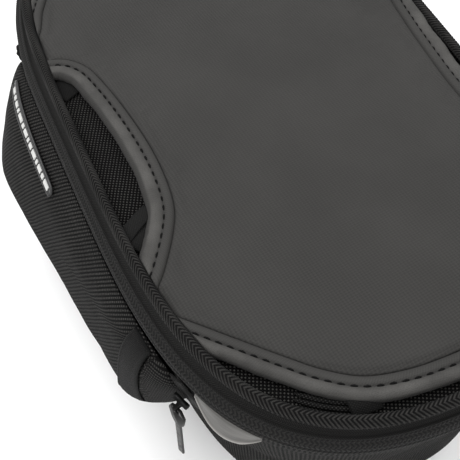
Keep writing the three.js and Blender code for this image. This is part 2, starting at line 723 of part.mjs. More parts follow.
const POCKET_SLIDER_TOP = 119;
const POCKET_SLIDER_LOW = 74;
const POCKET_SLIDER_OUT = 5.6;     // from the pocket's near end
const POCKET_SLIDER_LIFT = 4.4;
const BASE_SLIDER_FROM = 24;
const BASE_SLIDER_LIFT = 2.3;
const LID_SLIDER_FROM = 70;
const LID_ZIP_IN = BORDER_WIDTH + 2.5;

function addPocketSliders() {
  const at = (z) => pocketMiddle(z) - POCKET_HALF_LENGTH - POCKET_SLIDER_OUT;
  const on = (side, z) => [side * (wallHalfWidth(at(z), z) + POCKET_SLIDER_LIFT), at(z), z];
  const y = at(POCKET_SLIDER_TOP);
  const step = 8;
  const wall = (dy, z) => wallHalfWidth(y + dy, z);
  const turned = (wall(step, POCKET_SLIDER_TOP) - wall(-step, POCKET_SLIDER_TOP)) / (2 * step);
  const drop = POCKET_SLIDER_TOP - POCKET_SLIDER_LOW;
  const leaning = (wall(0, POCKET_SLIDER_TOP) - wall(0, POCKET_SLIDER_LOW)) / drop;
  for (const [name, side] of [['left_pocket', -1], ['right_pocket', 1]]) {
    const top = on(side, POCKET_SLIDER_TOP);
    const along = on(side, POCKET_SLIDER_LOW).map((v, i) => v - top[i]);
    addSlider(name, top, [side, -turned, -leaning], along, LONG_PULL, { hanging: true });
  }
}

function addSliders() {
  addPocketSliders();
  const end = -onEnd(ZIP_SIDE + BASE_SLIDER_LIFT, ZIP_END + BASE_SLIDER_LIFT, BASE_SLIDER_FROM);
  const start = [BASE_SLIDER_FROM, end, ZIP_MIDDLE];
  addSlider('base_zip', start, [0, -1, 0], [-1, 0, 0], SHORT_PULL, { across: true });
  const lidSide = LID_EDGE - LID_ZIP_IN;
  const lidEnd = LID_EDGE_END - LID_ZIP_IN;
  const lidPoint = (y) => [onSide(lidSide, lidEnd, y), y, LID_Z - GAP];
  const lidStart = lidPoint(LID_SLIDER_FROM);
  const lidRun = lidPoint(-LID_SLIDER_FROM).map((v, i) => v - lidStart[i]);
  addSlider('lid_zip', lidStart, [0, 0, -1], lidRun, SHORT_PULL);
}

addBody();
addBaseZip();
addRim();
addLid();
addBase();
addPad();
addAnchors();
addPockets();
add('right_corner_reflector', reflector(), REFLECTOR);
add('left_corner_reflector', mirrorX(reflector()), REFLECTOR);
addHandle();
addSliders();

export default bag;
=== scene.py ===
"""Tank bag, lying upside down on its lid with its zip-off base facing up.

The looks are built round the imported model. Shapes are worked out in millimetres in the outline's
frame, whose middle is OUTLINE_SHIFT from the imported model's origin, and turned into metres when a
mesh is made. +Y is the far end, where the base and the lid are hinged.
"""
import math

import bmesh
import bpy
import numpy as np
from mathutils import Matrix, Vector
from mathutils.geometry import delaunay_2d_cdt


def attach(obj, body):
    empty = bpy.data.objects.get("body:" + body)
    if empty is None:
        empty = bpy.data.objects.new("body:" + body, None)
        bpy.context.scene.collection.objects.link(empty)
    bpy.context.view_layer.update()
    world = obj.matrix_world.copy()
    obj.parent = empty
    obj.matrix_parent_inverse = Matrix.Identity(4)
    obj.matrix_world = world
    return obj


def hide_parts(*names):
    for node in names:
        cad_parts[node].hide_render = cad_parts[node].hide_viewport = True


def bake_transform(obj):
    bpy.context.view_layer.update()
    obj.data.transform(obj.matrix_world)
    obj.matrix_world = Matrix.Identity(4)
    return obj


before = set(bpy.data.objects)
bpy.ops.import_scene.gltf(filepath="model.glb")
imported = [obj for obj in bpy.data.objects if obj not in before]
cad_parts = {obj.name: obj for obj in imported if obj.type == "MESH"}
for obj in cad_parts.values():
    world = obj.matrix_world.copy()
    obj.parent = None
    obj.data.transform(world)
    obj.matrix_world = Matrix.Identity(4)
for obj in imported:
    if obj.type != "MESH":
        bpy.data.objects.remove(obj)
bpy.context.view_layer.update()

MM = 0.001
TURN = 2 * math.pi

# ---- driving dimensions, in millimetres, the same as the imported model's ----
HALF_WIDTH = 108
HALF_LENGTH = 194.4
SIDE_POWER = 2.612
END_POWER = 3.949
TAPER = 0.037
OUTLINE_SHIFT = -6.3
PIPING_Z = 146.9
PIPING_RADIUS = 2.4
ZIP_SIDE = 8.4
ZIP_END = 6.4
BASE_TOP = 142.2

# How far the wall stands out from the outline: (height, at the sides, at the ends).
WALL = np.array([
    (5.6, -18, -22), (14, -15, -19), (60, -9, -14), (106, 4, -5), (124, 7.6, 4.4), (132.8, 8.4, 6.4),
])

POCKET_Y, POCKET_Z = 1, 84
POCKET_LONG, POCKET_HIGH = 121.5, 45
POCKET_SHEAR = 0.345
POCKET_DEPTH_FAR, POCKET_DEPTH_NEAR = 42, 25
POCKET_NARROWS = 70
POCKET_FULL_Z = 70
POCKET_LIP = 2.6
POCKET_GAP = 1.2
FAR_POWER, NEAR_POWER = 5, 14


# ---- camera, light and floor ----
CAMERA_AT = (-150.22, -305.47, 460.23)
CAMERA_AIM = (-57.76, -85.15, 146.4)
LENS = 66.0


def aim(thing, at, target):
    thing.location = Vector(at) * MM
    way = (Vector(target) - Vector(at)).normalized()
    thing.rotation_euler = way.to_track_quat("-Z", "Y").to_euler()


def add_camera():
    data = bpy.data.cameras.new("camera")
    data.lens = LENS
    data.sensor_width = 36
    data.clip_start = 0.01
    camera = bpy.data.objects.new("camera", data)
    bpy.context.scene.collection.objects.link(camera)
    aim(camera, CAMERA_AT, CAMERA_AIM)
    bpy.context.scene.camera = camera


def add_light(name, at, size, watts):
    data = bpy.data.lights.new(name, "AREA")
    data.shape = "DISK"
    data.size = size
    data.energy = watts
    light = bpy.data.objects.new(name, data)
    bpy.context.scene.collection.objects.link(light)
    aim(light, at, (0, 0, 100))


def add_studio():
    add_light("key", (-650, 520, 1350), 1.5, 22.0)
    add_light("fill", (900, -250, 1250), 1.6, 10.5)
    add_light("front", (-500, -1300, 800), 1.4, 13.0)
    world = bpy.data.worlds.new("studio")
    world.use_nodes = True
    world.node_tree.nodes["Background"].inputs["Color"].default_value = (1, 1, 1, 1)
    world.node_tree.nodes["Background"].inputs["Strength"].default_value = 0.54
    bpy.context.scene.world = world
    bpy.context.scene.view_settings.view_transform = "Standard"
    mesh = bpy.data.meshes.new("floor")
    half = 6.0
    corners = [(-half, -half, 0), (half, -half, 0), (half, half, 0), (-half, half, 0)]
    mesh.from_pydata(corners, [], [(0, 1, 2, 3)])
    floor = bpy.data.objects.new("floor", mesh)
    floor.location.z = -0.0003
    bpy.context.scene.collection.objects.link(floor)
    paper = Graph("paper")
    grain = paper.noise(paper.object_mm(), 0.02)
    paper.finish(paper.mix(grain, (0.9, 0.9, 0.9), (0.94, 0.94, 0.94)), 0.9)
    mesh.materials.append(paper.material)


# ---- materials ----
class Graph:
    """Short calls that add nodes to one material and return the sockets they end in."""

    def __init__(self, name):
        self.material = bpy.data.materials.new(name)
        self.material.use_nodes = True
        self.tree = self.material.node_tree
        self.shader = self.tree.nodes["Principled BSDF"]

    def join(self, value, socket):
        if isinstance(value, bpy.types.NodeSocket):
            self.tree.links.new(value, socket)
        elif isinstance(value, tuple) and len(value) == 3 and socket.type == "RGBA":
            socket.default_value = (*value, 1)
        else:
            socket.default_value = value

    def math(self, operation, a, b=0.0, clamp=False):
        node = self.tree.nodes.new("ShaderNodeMath")
        node.operation = operation
        node.use_clamp = clamp
        self.join(a, node.inputs[0])
        self.join(b, node.inputs[1])
        return node.outputs[0]

    def vector(self, operation, a, b):
        node = self.tree.nodes.new("ShaderNodeVectorMath")
        node.operation = operation
        self.join(a, node.inputs[0])
        self.join(b, node.inputs[1])
        return node.outputs[0]

    def object_mm(self):
        node = self.tree.nodes.new("ShaderNodeTexCoord")
        return self.vector("MULTIPLY", node.outputs["Object"], (1000, 1000, 1000))

    def uv_mm(self):
        node = self.tree.nodes.new("ShaderNodeUVMap")
        node.uv_map = "cloth"
        return node.outputs["UV"]

    def parts(self, vector):
        node = self.tree.nodes.new("ShaderNodeSeparateXYZ")
        self.join(vector, node.inputs[0])
        return node.outputs[0], node.outputs[1], node.outputs[2]

    def noise(self, vector, scale, detail=2.0):
        node = self.tree.nodes.new("ShaderNodeTexNoise")
        self.join(vector, node.inputs["Vector"])
        node.inputs["Scale"].default_value = scale
        node.inputs["Detail"].default_value = detail
        return node.outputs["Fac"]

    def mix(self, share, dark, light):
        node = self.tree.nodes.new("ShaderNodeMix")
        node.data_type = "RGBA"
        self.join(share, node.inputs["Factor"])
        self.join(dark, node.inputs["A"])
        self.join(light, node.inputs["B"])
        return node.outputs["Result"]

    def step(self, value, low, high, to_low=0.0, to_high=1.0):
        node = self.tree.nodes.new("ShaderNodeMapRange")
        node.interpolation_type = "SMOOTHSTEP"
        self.join(value, node.inputs["Value"])
        node.inputs["From Min"].default_value = low
        node.inputs["From Max"].default_value = high
        node.inputs["To Min"].default_value = to_low
        node.inputs["To Max"].default_value = to_high
        return node.outputs["Result"]

    def wave(self, coordinate, period):
        """From -1 to 1, once up and down in each period."""
        return self.math("SINE", self.math("MULTIPLY", coordinate, TURN / period))

    def bump(self, height, distance):
        node = self.tree.nodes.new("ShaderNodeBump")
        node.inputs["Strength"].default_value = 1.0
        node.inputs["Distance"].default_value = distance * MM
        self.join(height, node.inputs["Height"])
        return node.outputs["Normal"]

    def finish(self, colour, roughness, normal=None, **levels):
        """Sets the shader. levels are constants for its other inputs, with _ for a space."""
        self.join(colour, self.shader.inputs["Base Color"])
        self.join(roughness, self.shader.inputs["Roughness"])
        if normal is not None:
            self.join(normal, self.shader.inputs["Normal"])
        for name, value in levels.items():
            self.join(value, self.shader.inputs[name.replace("_", " ")])
        return self.material


def woven(name, dark, light, across, along, depth=0.3, rough=0.75, sheen=0.15, turn=0.0, specular=0.35):
    """A plain weave: threads that pass over show as light dots in staggered rows."""
    g = Graph(name)
    u, v, _ = g.parts(g.uv_mm())
    if turn:
        u, v = (
            g.math("ADD", g.math("MULTIPLY", u, math.cos(turn)), g.math("MULTIPLY", v, math.sin(turn))),
            g.math("SUBTRACT", g.math("MULTIPLY", v, math.cos(turn)), g.math("MULTIPLY", u, math.sin(turn))),
        )
    wander = g.math("MULTIPLY", g.math("SUBTRACT", g.noise(g.uv_mm(), 0.15), 0.5), 0.5)
    over = g.math("MULTIPLY", g.wave(g.math("ADD", u, wander), 2 * across), g.wave(v, 2 * along))
    thread = g.math("POWER", g.math("ABSOLUTE", over), 0.6)
    warp = g.step(over, 0.08, 0.7)
    cloudy = g.step(g.noise(g.uv_mm(), 0.02, 3), 0.3, 0.7, 0.82, 1.12)
    grain = g.step(g.noise(g.uv_mm(), 1.7, 1), 0.25, 0.75, 0.75, 1.2)
    shade = g.math("MULTIPLY", warp, g.math("MULTIPLY", cloudy, grain), clamp=True)
    colour = g.mix(shade, dark, light)
    height = g.math("ADD", g.math("MULTIPLY", thread, 0.6), g.math("MULTIPLY", warp, 0.4))
    roughness = g.step(grain, 0.7, 1.2, rough + 0.08, rough - 0.08)
    return g.finish(
        colour, roughness, g.bump(height, depth), Sheen_Weight=sheen, Specular_IOR_Level=specular,
    )


def ribbed(name, dark, light, rib, dot, depth=0.35, rough=0.7, sheen=0.06, specular=0.3, floats=0.35):
    """Rows of short floats with dark grooves between them: the rows run along v, rib apart."""
    g = Graph(name)
    u, v, _ = g.parts(g.uv_mm())
    wander = g.math("MULTIPLY", g.math("SUBTRACT", g.noise(g.uv_mm(), 0.12), 0.5), 0.4)
    row = g.math("ADD", u, wander)
    crest = g.step(g.wave(row, rib), -0.45, 0.6)
    stagger = g.math("MULTIPLY", g.math("FLOOR", g.math("DIVIDE", row, rib)), dot / 2)
    beads = g.step(g.wave(g.math("ADD", v, stagger), dot), -0.8, 0.3, floats, 1)
    grain = g.step(g.noise(g.uv_mm(), 1.4, 1), 0.25, 0.75, 0.7, 1.15)
    cloudy = g.step(g.noise(g.uv_mm(), 0.02, 3), 0.3, 0.7, 0.8, 1.1)
    thread = g.math("MULTIPLY", crest, beads)
    shade = g.math("MULTIPLY", thread, g.math("MULTIPLY", grain, cloudy), clamp=True)
    roughness = g.step(grain, 0.7, 1.15, rough + 0.08, rough - 0.08)
    return g.finish(
        g.mix(shade, dark, light), roughness, g.bump(thread, depth),
        Sheen_Weight=sheen, Specular_IOR_Level=specular,
    )


def twilled(name, dark, light, period, lean, depth=0.12, rough=0.62, sheen=0.25, fine=0.7, crest=None):
    """Fine twill: slanting lines crossed by short threads, with soft cloudy shading.

    crest is (low, high, colour): the stretch of the cloth's width that is made paler, partly worn and partly
    a painted highlight on the roll's top."""
    g = Graph(name)
    u, v, _ = g.parts(g.uv_mm())
    slant = g.math("ADD", g.math("MULTIPLY", u, math.cos(lean)), g.math("MULTIPLY", v, math.sin(lean)))
    cross = g.math("SUBTRACT", g.math("MULTIPLY", v, math.cos(lean)), g.math("MULTIPLY", u, math.sin(lean)))
    lines = g.step(g.wave(slant, period), -0.7, 0.8)
    thread = g.step(g.wave(cross, fine), -1, 1)
    grain = g.step(g.noise(g.uv_mm(), 2.3, 1), 0.3, 0.7)
    patch = g.step(g.noise(g.uv_mm(), 0.018, 3), 0.25, 0.75)
    fabric = g.math("ADD", g.math("MULTIPLY", lines, 0.3), g.math("MULTIPLY", thread, 0.3))
    fabric = g.math("ADD", fabric, g.math("MULTIPLY", grain, 0.4))
    shade = g.math("ADD", g.math("MULTIPLY", fabric, 0.75), g.math("MULTIPLY", patch, 0.25), clamp=True)
    colour = g.mix(shade, dark, light)
    if crest:
        low, high, wear_and_highlight_colour = crest
        # painted highlight along the roll's top, broken into worn blotches and specks
        on_crest = g.math("MULTIPLY", g.step(v, low, low + 1.5), g.step(v, high - 1.5, high, 1, 0))
        wear_and_highlight_blotches = g.step(g.noise(g.uv_mm(), 0.05, 4), 0.25, 0.75, 0.15, 1)
        speck = g.step(g.noise(g.uv_mm(), 2.2, 1), 0.3, 0.7, 0.55, 1)
        colour = g.mix(g.math("MULTIPLY", on_crest, g.math("MULTIPLY", wear_and_highlight_blotches, speck)), colour, wear_and_highlight_colour)
    height = g.math("ADD", g.math("MULTIPLY", fabric, 0.8), g.math("MULTIPLY", grain, 0.2))
    roughness = g.step(grain, 0, 1, rough - 0.06, rough + 0.08)
    return g.finish(
        colour, roughness, g.bump(height, depth), Sheen_Weight=sheen, Sheen_Roughness=0.5,
        Specular_IOR_Level=0.3,
    )


def chevroned(name, dark, light, pitch, around, depth=0.25, rough=0.6, specular=0.5):
    """Herringbone: threads slant one way, then the other, in stripes that are around wide."""
    g = Graph(name)
    u, v, _ = g.parts(g.uv_mm())
    fold = g.math("PINGPONG", v, around)
    lines = g.wave(g.math("ADD", u, fold), pitch)
    thread = g.step(lines, -0.6, 0.7)
    ridge = g.step(g.wave(v, around), -1, 1)
    grain = g.step(g.noise(g.uv_mm(), 2.0, 1), 0.3, 0.7, 0.6, 1.15)
    shade = g.math("MULTIPLY", g.math("MULTIPLY", thread, grain), g.step(ridge, 0, 1, 0.7, 1), clamp=True)
    colour = g.mix(shade, dark, light)
    roughness = g.step(grain, 0.6, 1.15, rough + 0.1, rough - 0.05)
    return g.finish(colour, roughness, g.bump(thread, depth), Sheen_Weight=0.03, Specular_IOR_Level=specular)


def moulded(name, dark, light, scale, depth=0.05, rough=(0.3, 0.45), metallic=0.0, **levels):
    """Moulded plastic, rubber, lacquered metal or board: a fine grain, with scuffs on top."""
    g = Graph(name)
    place = g.object_mm()
    grain = g.noise(place, scale, 3)
    scuff = g.step(g.noise(place, scale * 0.2, 5), 0.5, 0.75)
    colour = g.mix(g.math("ADD", g.math("MULTIPLY", grain, 0.5), g.math("MULTIPLY", scuff, 0.5)), dark, light)
    roughness = g.step(g.math("ADD", grain, scuff), 0.2, 1.4, rough[0], rough[1])
    return g.finish(colour, roughness, g.bump(grain, depth), Metallic=metallic, **levels)


def foamed(name, dark, light):
    """Open foam: small round cells."""
    g = Graph(name)
    cells = g.tree.nodes.new("ShaderNodeTexVoronoi")
    g.join(g.object_mm(), cells.inputs["Vector"])
    cells.inputs["Scale"].default_value = 1.4
    pore = g.step(cells.outputs["Distance"], 0.1, 0.5)
    return g.finish(g.mix(pore, light, dark), 0.95, g.bump(pore, -0.25), Sheen_Weight=0.1)


def satin(name, dark, light):
    """Silver reflective film: small glass beads under a satin face, with faint creases and a painted
    highlight along one edge.
    """
    g = Graph(name)
    _, v, _ = g.parts(g.uv_mm())
    beads = g.noise(g.uv_mm(), 3.0, 1)
    streak = g.noise(g.vector("MULTIPLY", g.uv_mm(), (0.04, 0.5, 1.0)), 1.0, 3)
    # painted highlight: the colour is made bright within 2.2 mm of the edge where v starts
    edge = g.step(v, 0, 2.2, 1, 0)
    crease_streaks_and_rim_highlight = g.math("ADD", g.math("MULTIPLY", streak, 0.35), g.math("MULTIPLY", edge, 0.8), clamp=True)
    colour = g.mix(crease_streaks_and_rim_highlight, dark, light)
    roughness = g.step(beads, 0.3, 0.7, 0.3, 0.5)
    height = g.math("ADD", g.math("MULTIPLY", beads, 0.3), streak)
    return g.finish(colour, roughness, g.bump(height, 0.12), Metallic=0.35, Specular_IOR_Level=0.7)


def glazed(name):
    """Clear soft plastic with faint waves and wipe marks."""
    g = Graph(name)
    place = g.object_mm()
    waves = g.noise(place, 0.05, 2)
    marks = g.step(g.noise(place, 0.8, 4), 0.45, 0.8)
    return g.finish(
        g.mix(marks, (0.75, 0.79, 0.8), (0.86, 0.88, 0.88)), g.step(marks, 0, 1, 0.06, 0.25),
        g.bump(waves, 0.5), Transmission_Weight=0.85, IOR=1.45,
    )


def grey(level):
    return (level, level, level)


def warm(level):
    """A grey that leans a little towards brown, as worn black cloth does."""
    return (level, 0.967 * level, 0.915 * level)


def make_fabrics():
    return {
        "grip": twilled("grip_fabric", warm(0.015), warm(0.039), 1.7, 0.12, 0.18, 0.8, 0.02, 1.3),
        "grip_small": twilled("sleeve_fabric", warm(0.022), warm(0.045), 1.3, 0.6, 0.12, 0.75, 0.06),
        # the binding's crest colour is a painted highlight on the roll's top, mixed with wear
        "binding": twilled("binding_fabric", warm(0.017), warm(0.044), 1.1, 0.5, 0.14, 0.78, 0.02,
                           crest=(7.5, 15.5, warm(0.078))),
        "ballistic": woven("ballistic_weave", grey(0.001), warm(0.046), 1.15, 1.15, 0.6, 0.78, 0.0,
                           turn=0.35, specular=0.08),
        "ballistic_fine": woven("hem_weave", grey(0.0015), warm(0.036), 0.8, 0.8, 0.3, 0.75, 0.0,
                                specular=0.12),
        "rib": ribbed("rib_weave", grey(0.0012), warm(0.041), 2.0, 1.7, 0.4, 0.8, 0.0, 0.08, 0.1),
        "plain": woven("plain_weave", grey(0.004), warm(0.018), 0.6, 0.6, 0.2, 0.78, 0.0, specular=0.15),
        "strap": woven("strap_webbing", grey(0.003), warm(0.015), 0.55, 0.8, 0.25, 0.75, 0.0,
                       specular=0.12),
        "piping": chevroned("piping_braid", grey(0.0025), warm(0.029), BRAID_PITCH, BRAID_STRIPE,
                            0.4, 0.75, 0.06),
        "tape": chevroned("herringbone_tape", grey(0.004), warm(0.017), 1.1, 1.8, 0.12, 0.78, 0.12),
        "chain": chevroned("zip_chain", grey(0.006), warm(0.0185), TOOTH_PITCH, 1.6, 0.2, 0.7, 0.12),
        "lining": woven("lining_cloth", grey(0.12), grey(0.2), 0.5, 0.5, 0.1, 0.7),
    }


def make_materials():
    return make_fabrics() | {
        "foam": foamed("wall_foam", (0.1, 0.1, 0.095), (0.3, 0.3, 0.29)),
        "board": moulded("stiff_board", grey(0.012), grey(0.03), 0.8, 0.1, (0.5, 0.7)),
        "rubber": moulded("label_rubber", grey(0.008), grey(0.02), 1.5, 0.05, (0.4, 0.6)),
        "white": moulded("label_mark", (0.42, 0.42, 0.41), (0.68, 0.68, 0.66), 1.2, 0.06, (0.4, 0.6)),
        "thread": moulded("stitch_thread", grey(0.003), grey(0.011), 3.0, 0.1, (0.75, 0.9),
                          Specular_IOR_Level=0.06),
        "slider": moulded("black_nickel", grey(0.001), grey(0.003), 0.9, 0.02, (0.34, 0.5),
                          Specular_IOR_Level=0.14),
        "reflector": satin("reflective_film", warm(0.03), warm(0.42)),
        "window": glazed("clear_window"),
    }


# ---- outline, wall and pocket shapes ----
def signed_power(value, power):
    return np.sign(value) * np.abs(value) ** power


def outline(t, side, end):
    y = (HALF_LENGTH + end) * signed_power(np.sin(t), 2 / END_POWER)
    x = (HALF_WIDTH + side) * signed_power(np.cos(t), 2 / SIDE_POWER) * (1 + TAPER * y / HALF_LENGTH)
    return np.stack(np.broadcast_arrays(x, y), -1)


def even_angles(count):
    """Angles that split the outline into equal lengths."""
    fine = np.linspace(0, TURN, 20001)
    steps = np.linalg.norm(np.diff(outline(fine, 0, 0), axis=0), axis=1)
    lengths = np.concatenate([[0], np.cumsum(steps)])
    return np.interp(np.arange(count) / count * lengths[-1], lengths, fine)


def level(xy, inset):
    """Below 1 inside the outline drawn in by inset, above 1 outside it."""
    x, y = xy[..., 0], xy[..., 1]
    width = (HALF_WIDTH - inset) * (1 + TAPER * y / HALF_LENGTH)
    return np.abs(x / width) ** SIDE_POWER + np.abs(y / (HALF_LENGTH - inset)) ** END_POWER


def held_inside(xy, inset):
    """The points, with those outside the drawn-in outline brought back to it."""
    xy = xy.copy()
    for _ in range(6):
        xy *= np.minimum(level(xy, inset) ** (-1 / 3.2), 1)[..., None]
    return xy


def wall_at(z):
    return np.interp(z, WALL[:, 0], WALL[:, 1]), np.interp(z, WALL[:, 0], WALL[:, 2])


def wall_half_width(y, z):
    side, end = wall_at(z)
    inside = 1 - np.minimum(np.abs(y) / (HALF_LENGTH + end), 1) ** END_POWER
    return (HALF_WIDTH + side) * inside ** (1 / SIDE_POWER) * (1 + TAPER * y / HALF_LENGTH)


def pocket_middle(z):
    return POCKET_Y + POCKET_SHEAR * (POCKET_Z - z)


def pocket_outline(angle, out, s=1.0):
    square = np.where(np.sin(angle) > 0, 0.3, 0.5)
    z = POCKET_Z + s * (POCKET_HIGH + out) * signed_power(np.sin(angle), square)
    y = pocket_middle(z) + s * (POCKET_LONG + out) * signed_power(np.cos(angle), square)
    return y, z


def pocket_depth(y, z):
    """How deep the pocket is before its edges round off: a wedge that grows downwards."""
    top = POCKET_Z + POCKET_HIGH
    grown = np.clip((top - z) / (top - POCKET_FULL_Z), 0, 1)
    far = np.clip(0.5 + 0.5 * y / POCKET_NARROWS, 0, 1)
    return (POCKET_DEPTH_NEAR + (POCKET_DEPTH_FAR - POCKET_DEPTH_NEAR) * far) * grown ** 0.8 + POCKET_LIP


def pocket_profile(s, near):
    """1 at the pocket's middle and 0 at its rim. near is 1 towards the near end."""
    return np.sqrt(np.maximum(1 - s ** (FAR_POWER + (NEAR_POWER - FAR_POWER) * near), 0))


def pocket_outside(y, z):
    """Half width of the pocket's outside at a place along the bag and a height."""
    corner = np.where(z > POCKET_Z, 0.3, 0.5)
    along = np.abs(y - pocket_middle(z)) / POCKET_LONG
    up = np.abs(z - POCKET_Z) / POCKET_HIGH
    s = np.maximum((along ** (2 / corner) + up ** (2 / corner)) ** (corner / 2), 1e-6)
    near = np.where(y < pocket_middle(z), np.minimum(along / s, 1) ** (1 / corner), 0)
    bulge = pocket_depth(y, z) * pocket_profile(np.minimum(s, 0.999), near)
    return wall_half_width(y, z) + POCKET_GAP + bulge


def ripples(points, size, seed):
    """Smooth waves about size apart, between about -1 and 1, the same on every run."""
    draw = np.random.default_rng(seed)
    total = np.zeros(points.shape[:-1])
    for _ in range(9):
        way = draw.normal(size=points.shape[-1])
        way *= TURN / (size * draw.uniform(0.7, 1.5) * np.linalg.norm(way))
        total += np.sin(points @ way + draw.uniform(0, TURN))
    return total / 4


def smooth_line(points, spacing):
    """A smooth curve through the points, cut into equal steps."""
    p = np.array(points, float)
    knots = np.concatenate([[0], np.cumsum(np.linalg.norm(np.diff(p, axis=0), axis=1) ** 0.5)])
    slopes = np.gradient(p, knots, axis=0)
    fine = np.linspace(0, knots[-1], 40 * len(p))
    i = np.clip(np.searchsorted(knots, fine, "right") - 1, 0, len(p) - 2)
    h = (knots[i + 1] - knots[i])[:, None]
    t = (fine - knots[i])[:, None] / h
    curve = (
        (1 + 2 * t) * (1 - t) ** 2 * p[i] + t * (1 - t) ** 2 * h * slopes[i]
        + t ** 2 * (3 - 2 * t) * p[i + 1] + t ** 2 * (t - 1) * h * slopes[i + 1]
    )
    return resampled(curve, spacing)


def resampled(line, spacing):
    lengths = np.concatenate([[0], np.cumsum(np.linalg.norm(np.diff(line, axis=0), axis=1))])
    wanted = np.linspace(0, lengths[-1], max(int(lengths[-1] / spacing), 2) + 1)
    return np.stack([np.interp(wanted, lengths, line[:, k]) for k in range(line.shape[1])], -1)


def normals_of(line):
    """Unit normals on the right of an open line in the plane."""
    along = np.gradient(line, axis=0)
    along /= np.linalg.norm(along, axis=1)[:, None]
    return np.stack([along[:, 1], -along[:, 0]], -1)


# ---- meshes ----
def to_metres(points):
    return (np.asarray(points, float).reshape(-1, 3) + (0, OUTLINE_SHIFT, 0)) * MM


def new_piece(name, verts, faces, material, uvs=None, smooth=True):
    """A mesh object. verts are in millimetres, and uvs is one pair for each corner of each face."""
    mesh = bpy.data.meshes.new(name)
    mesh.from_pydata(to_metres(verts).tolist(), [], faces)
    if uvs is None:
        flat = np.asarray(verts, float).reshape(-1, 3)
        uvs = np.array([flat[i, :2] for face in faces for i in face])
    layer = mesh.uv_layers.new(name="cloth")
    layer.data.foreach_set("uv", np.asarray(uvs, np.float32).ravel())
    mesh.polygons.foreach_set("use_smooth", [smooth] * len(faces))
    face_out(mesh)
    mesh.materials.append(material)
    piece = bpy.data.objects.new(name, mesh)
    bpy.context.scene.collection.objects.link(piece)
    return piece


def face_out(mesh):
    bm = bmesh.new()
    bm.from_mesh(mesh)
    bmesh.ops.recalc_face_normals(bm, faces=bm.faces)
    bm.to_mesh(mesh)
    bm.free()


def path_lengths(points, axis, wrap):
    """Length along one axis of a grid of points, averaged over the other."""
    if wrap:
        points = np.concatenate([points, np.take(points, [0], axis)], axis)
    steps = np.linalg.norm(np.diff(points, axis=axis), axis=-1).mean(1 - axis)
    return np.concatenate([[0], np.cumsum(steps)])


def grid_piece(name, points, material, wrap_u=False, wrap_v=False, caps=False):
    """A piece from a grid of points (along, across, 3). The cloth's u and v are in millimetres."""
    count_u, count_v = points.shape[:2]
    u = path_lengths(points, 0, wrap_u)
    v = path_lengths(points, 1, wrap_v)
    cells_u = np.arange(count_u if wrap_u else count_u - 1)
    cells_v = np.arange(count_v if wrap_v else count_v - 1)
    i, j = np.meshgrid(cells_u, cells_v, indexing="ij")
    corners = [(i, j), (i + 1, j), (i + 1, j + 1), (i, j + 1)]
    faces = np.stack([(a % count_u) * count_v + b % count_v for a, b in corners], -1).reshape(-1, 4)
    uvs = np.stack([np.stack([u[a], v[b]], -1) for a, b in corners], 2).reshape(-1, 2)
    faces, uvs = faces.tolist(), uvs.tolist()
    if caps:
        for row in (0, count_u - 1):
            faces.append([row * count_v + k for k in range(count_v)])
            uvs += [[u[row], v[k]] for k in range(count_v)]
    return new_piece(name, points, faces, material, uvs)


def ring_points(section, count):
    """Points of a ring round the bag, from a section of (side, end, height)."""
    section = np.array(section, float)
    t = even_angles(count)[:, None]
    xy = outline(t, section[None, :, 0], section[None, :, 1])
    z = np.broadcast_to(section[None, :, 2], xy.shape[:2])
    return np.concatenate([xy, z[..., None]], -1)


def ring_piece(name, section, count, material, shape=None):
    points = ring_points(section, count)
    if shape is not None:
        points = shape(points)
    return grid_piece(name, points, material, wrap_u=True, wrap_v=True)


def round_section(side, end, z, radius, sides):
    angle = np.arange(sides) / sides * TURN
    out = radius * np.cos(angle)
    return np.stack([side + out, end + out, z + radius * np.sin(angle)], -1)


def plate_points(side, end, count, rings):
    """Rings of points from the middle of an outline to its edge, as (around, ring, 2)."""
    edge = outline(even_angles(count), side, end)
    share = (np.arange(1, rings + 1) / rings)[None, :, None]
    return edge[:, None, :] * share


def closed_faces(count, rows):
    """Faces of a grid of count rows round an axis, closed by a middle point at each end."""
    faces = []
    for i in range(count):
        j = (i + 1) % count
        faces += [[i * rows + k, j * rows + k, j * rows + k + 1, i * rows + k + 1] for k in range(rows - 1)]
        faces.append([count * rows, j * rows, i * rows])
        faces.append([count * rows + 1, i * rows + rows - 1, j * rows + rows - 1])
    return faces


def plate_piece(name, side, end, low, high, material, count=160, rings=24, top=None, edge=0.5):
    """A sheet of one outline with rounded edges. top adds to the upper face's height."""
    flat = plate_points(side, end, count, rings)
    lift = np.zeros(flat.shape[:2]) if top is None else top(flat)
    mid = (low + high) / 2
    bulge = outline(even_angles(count), side + edge * 0.3, end + edge * 0.3)
    upper = np.concatenate([flat, (high + lift)[..., None]], -1)
    lower = np.concatenate([flat, (low + np.minimum(lift, 0))[..., None]], -1)
    rim = np.concatenate([bulge, np.full((count, 1), mid)], -1)[:, None]
    centre_up = np.array([[0, 0, high]])
    centre_low = np.array([[0, 0, low]])
    grid = np.concatenate([upper, rim, lower[:, ::-1]], 1)
    rows = grid.shape[1]
    verts = np.concatenate([grid.reshape(-1, 3), centre_up, centre_low])
    return new_piece(name, verts, closed_faces(count, rows), material)


def finished(piece, body, slot, *nodes, padded=None):
    """The piece rides on a body and stands for its CAD nodes, which it hides. slot is not used."""
    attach(piece, body)
    if nodes:
        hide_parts(*nodes)
    return piece


# ---- base: piping, side tape, woven cover, board ----
PIPING_SIDES = 20
PIPING_STEPS = 2400
BRAID_PITCH = 2.2
BRAID_STRIPE = 4.25


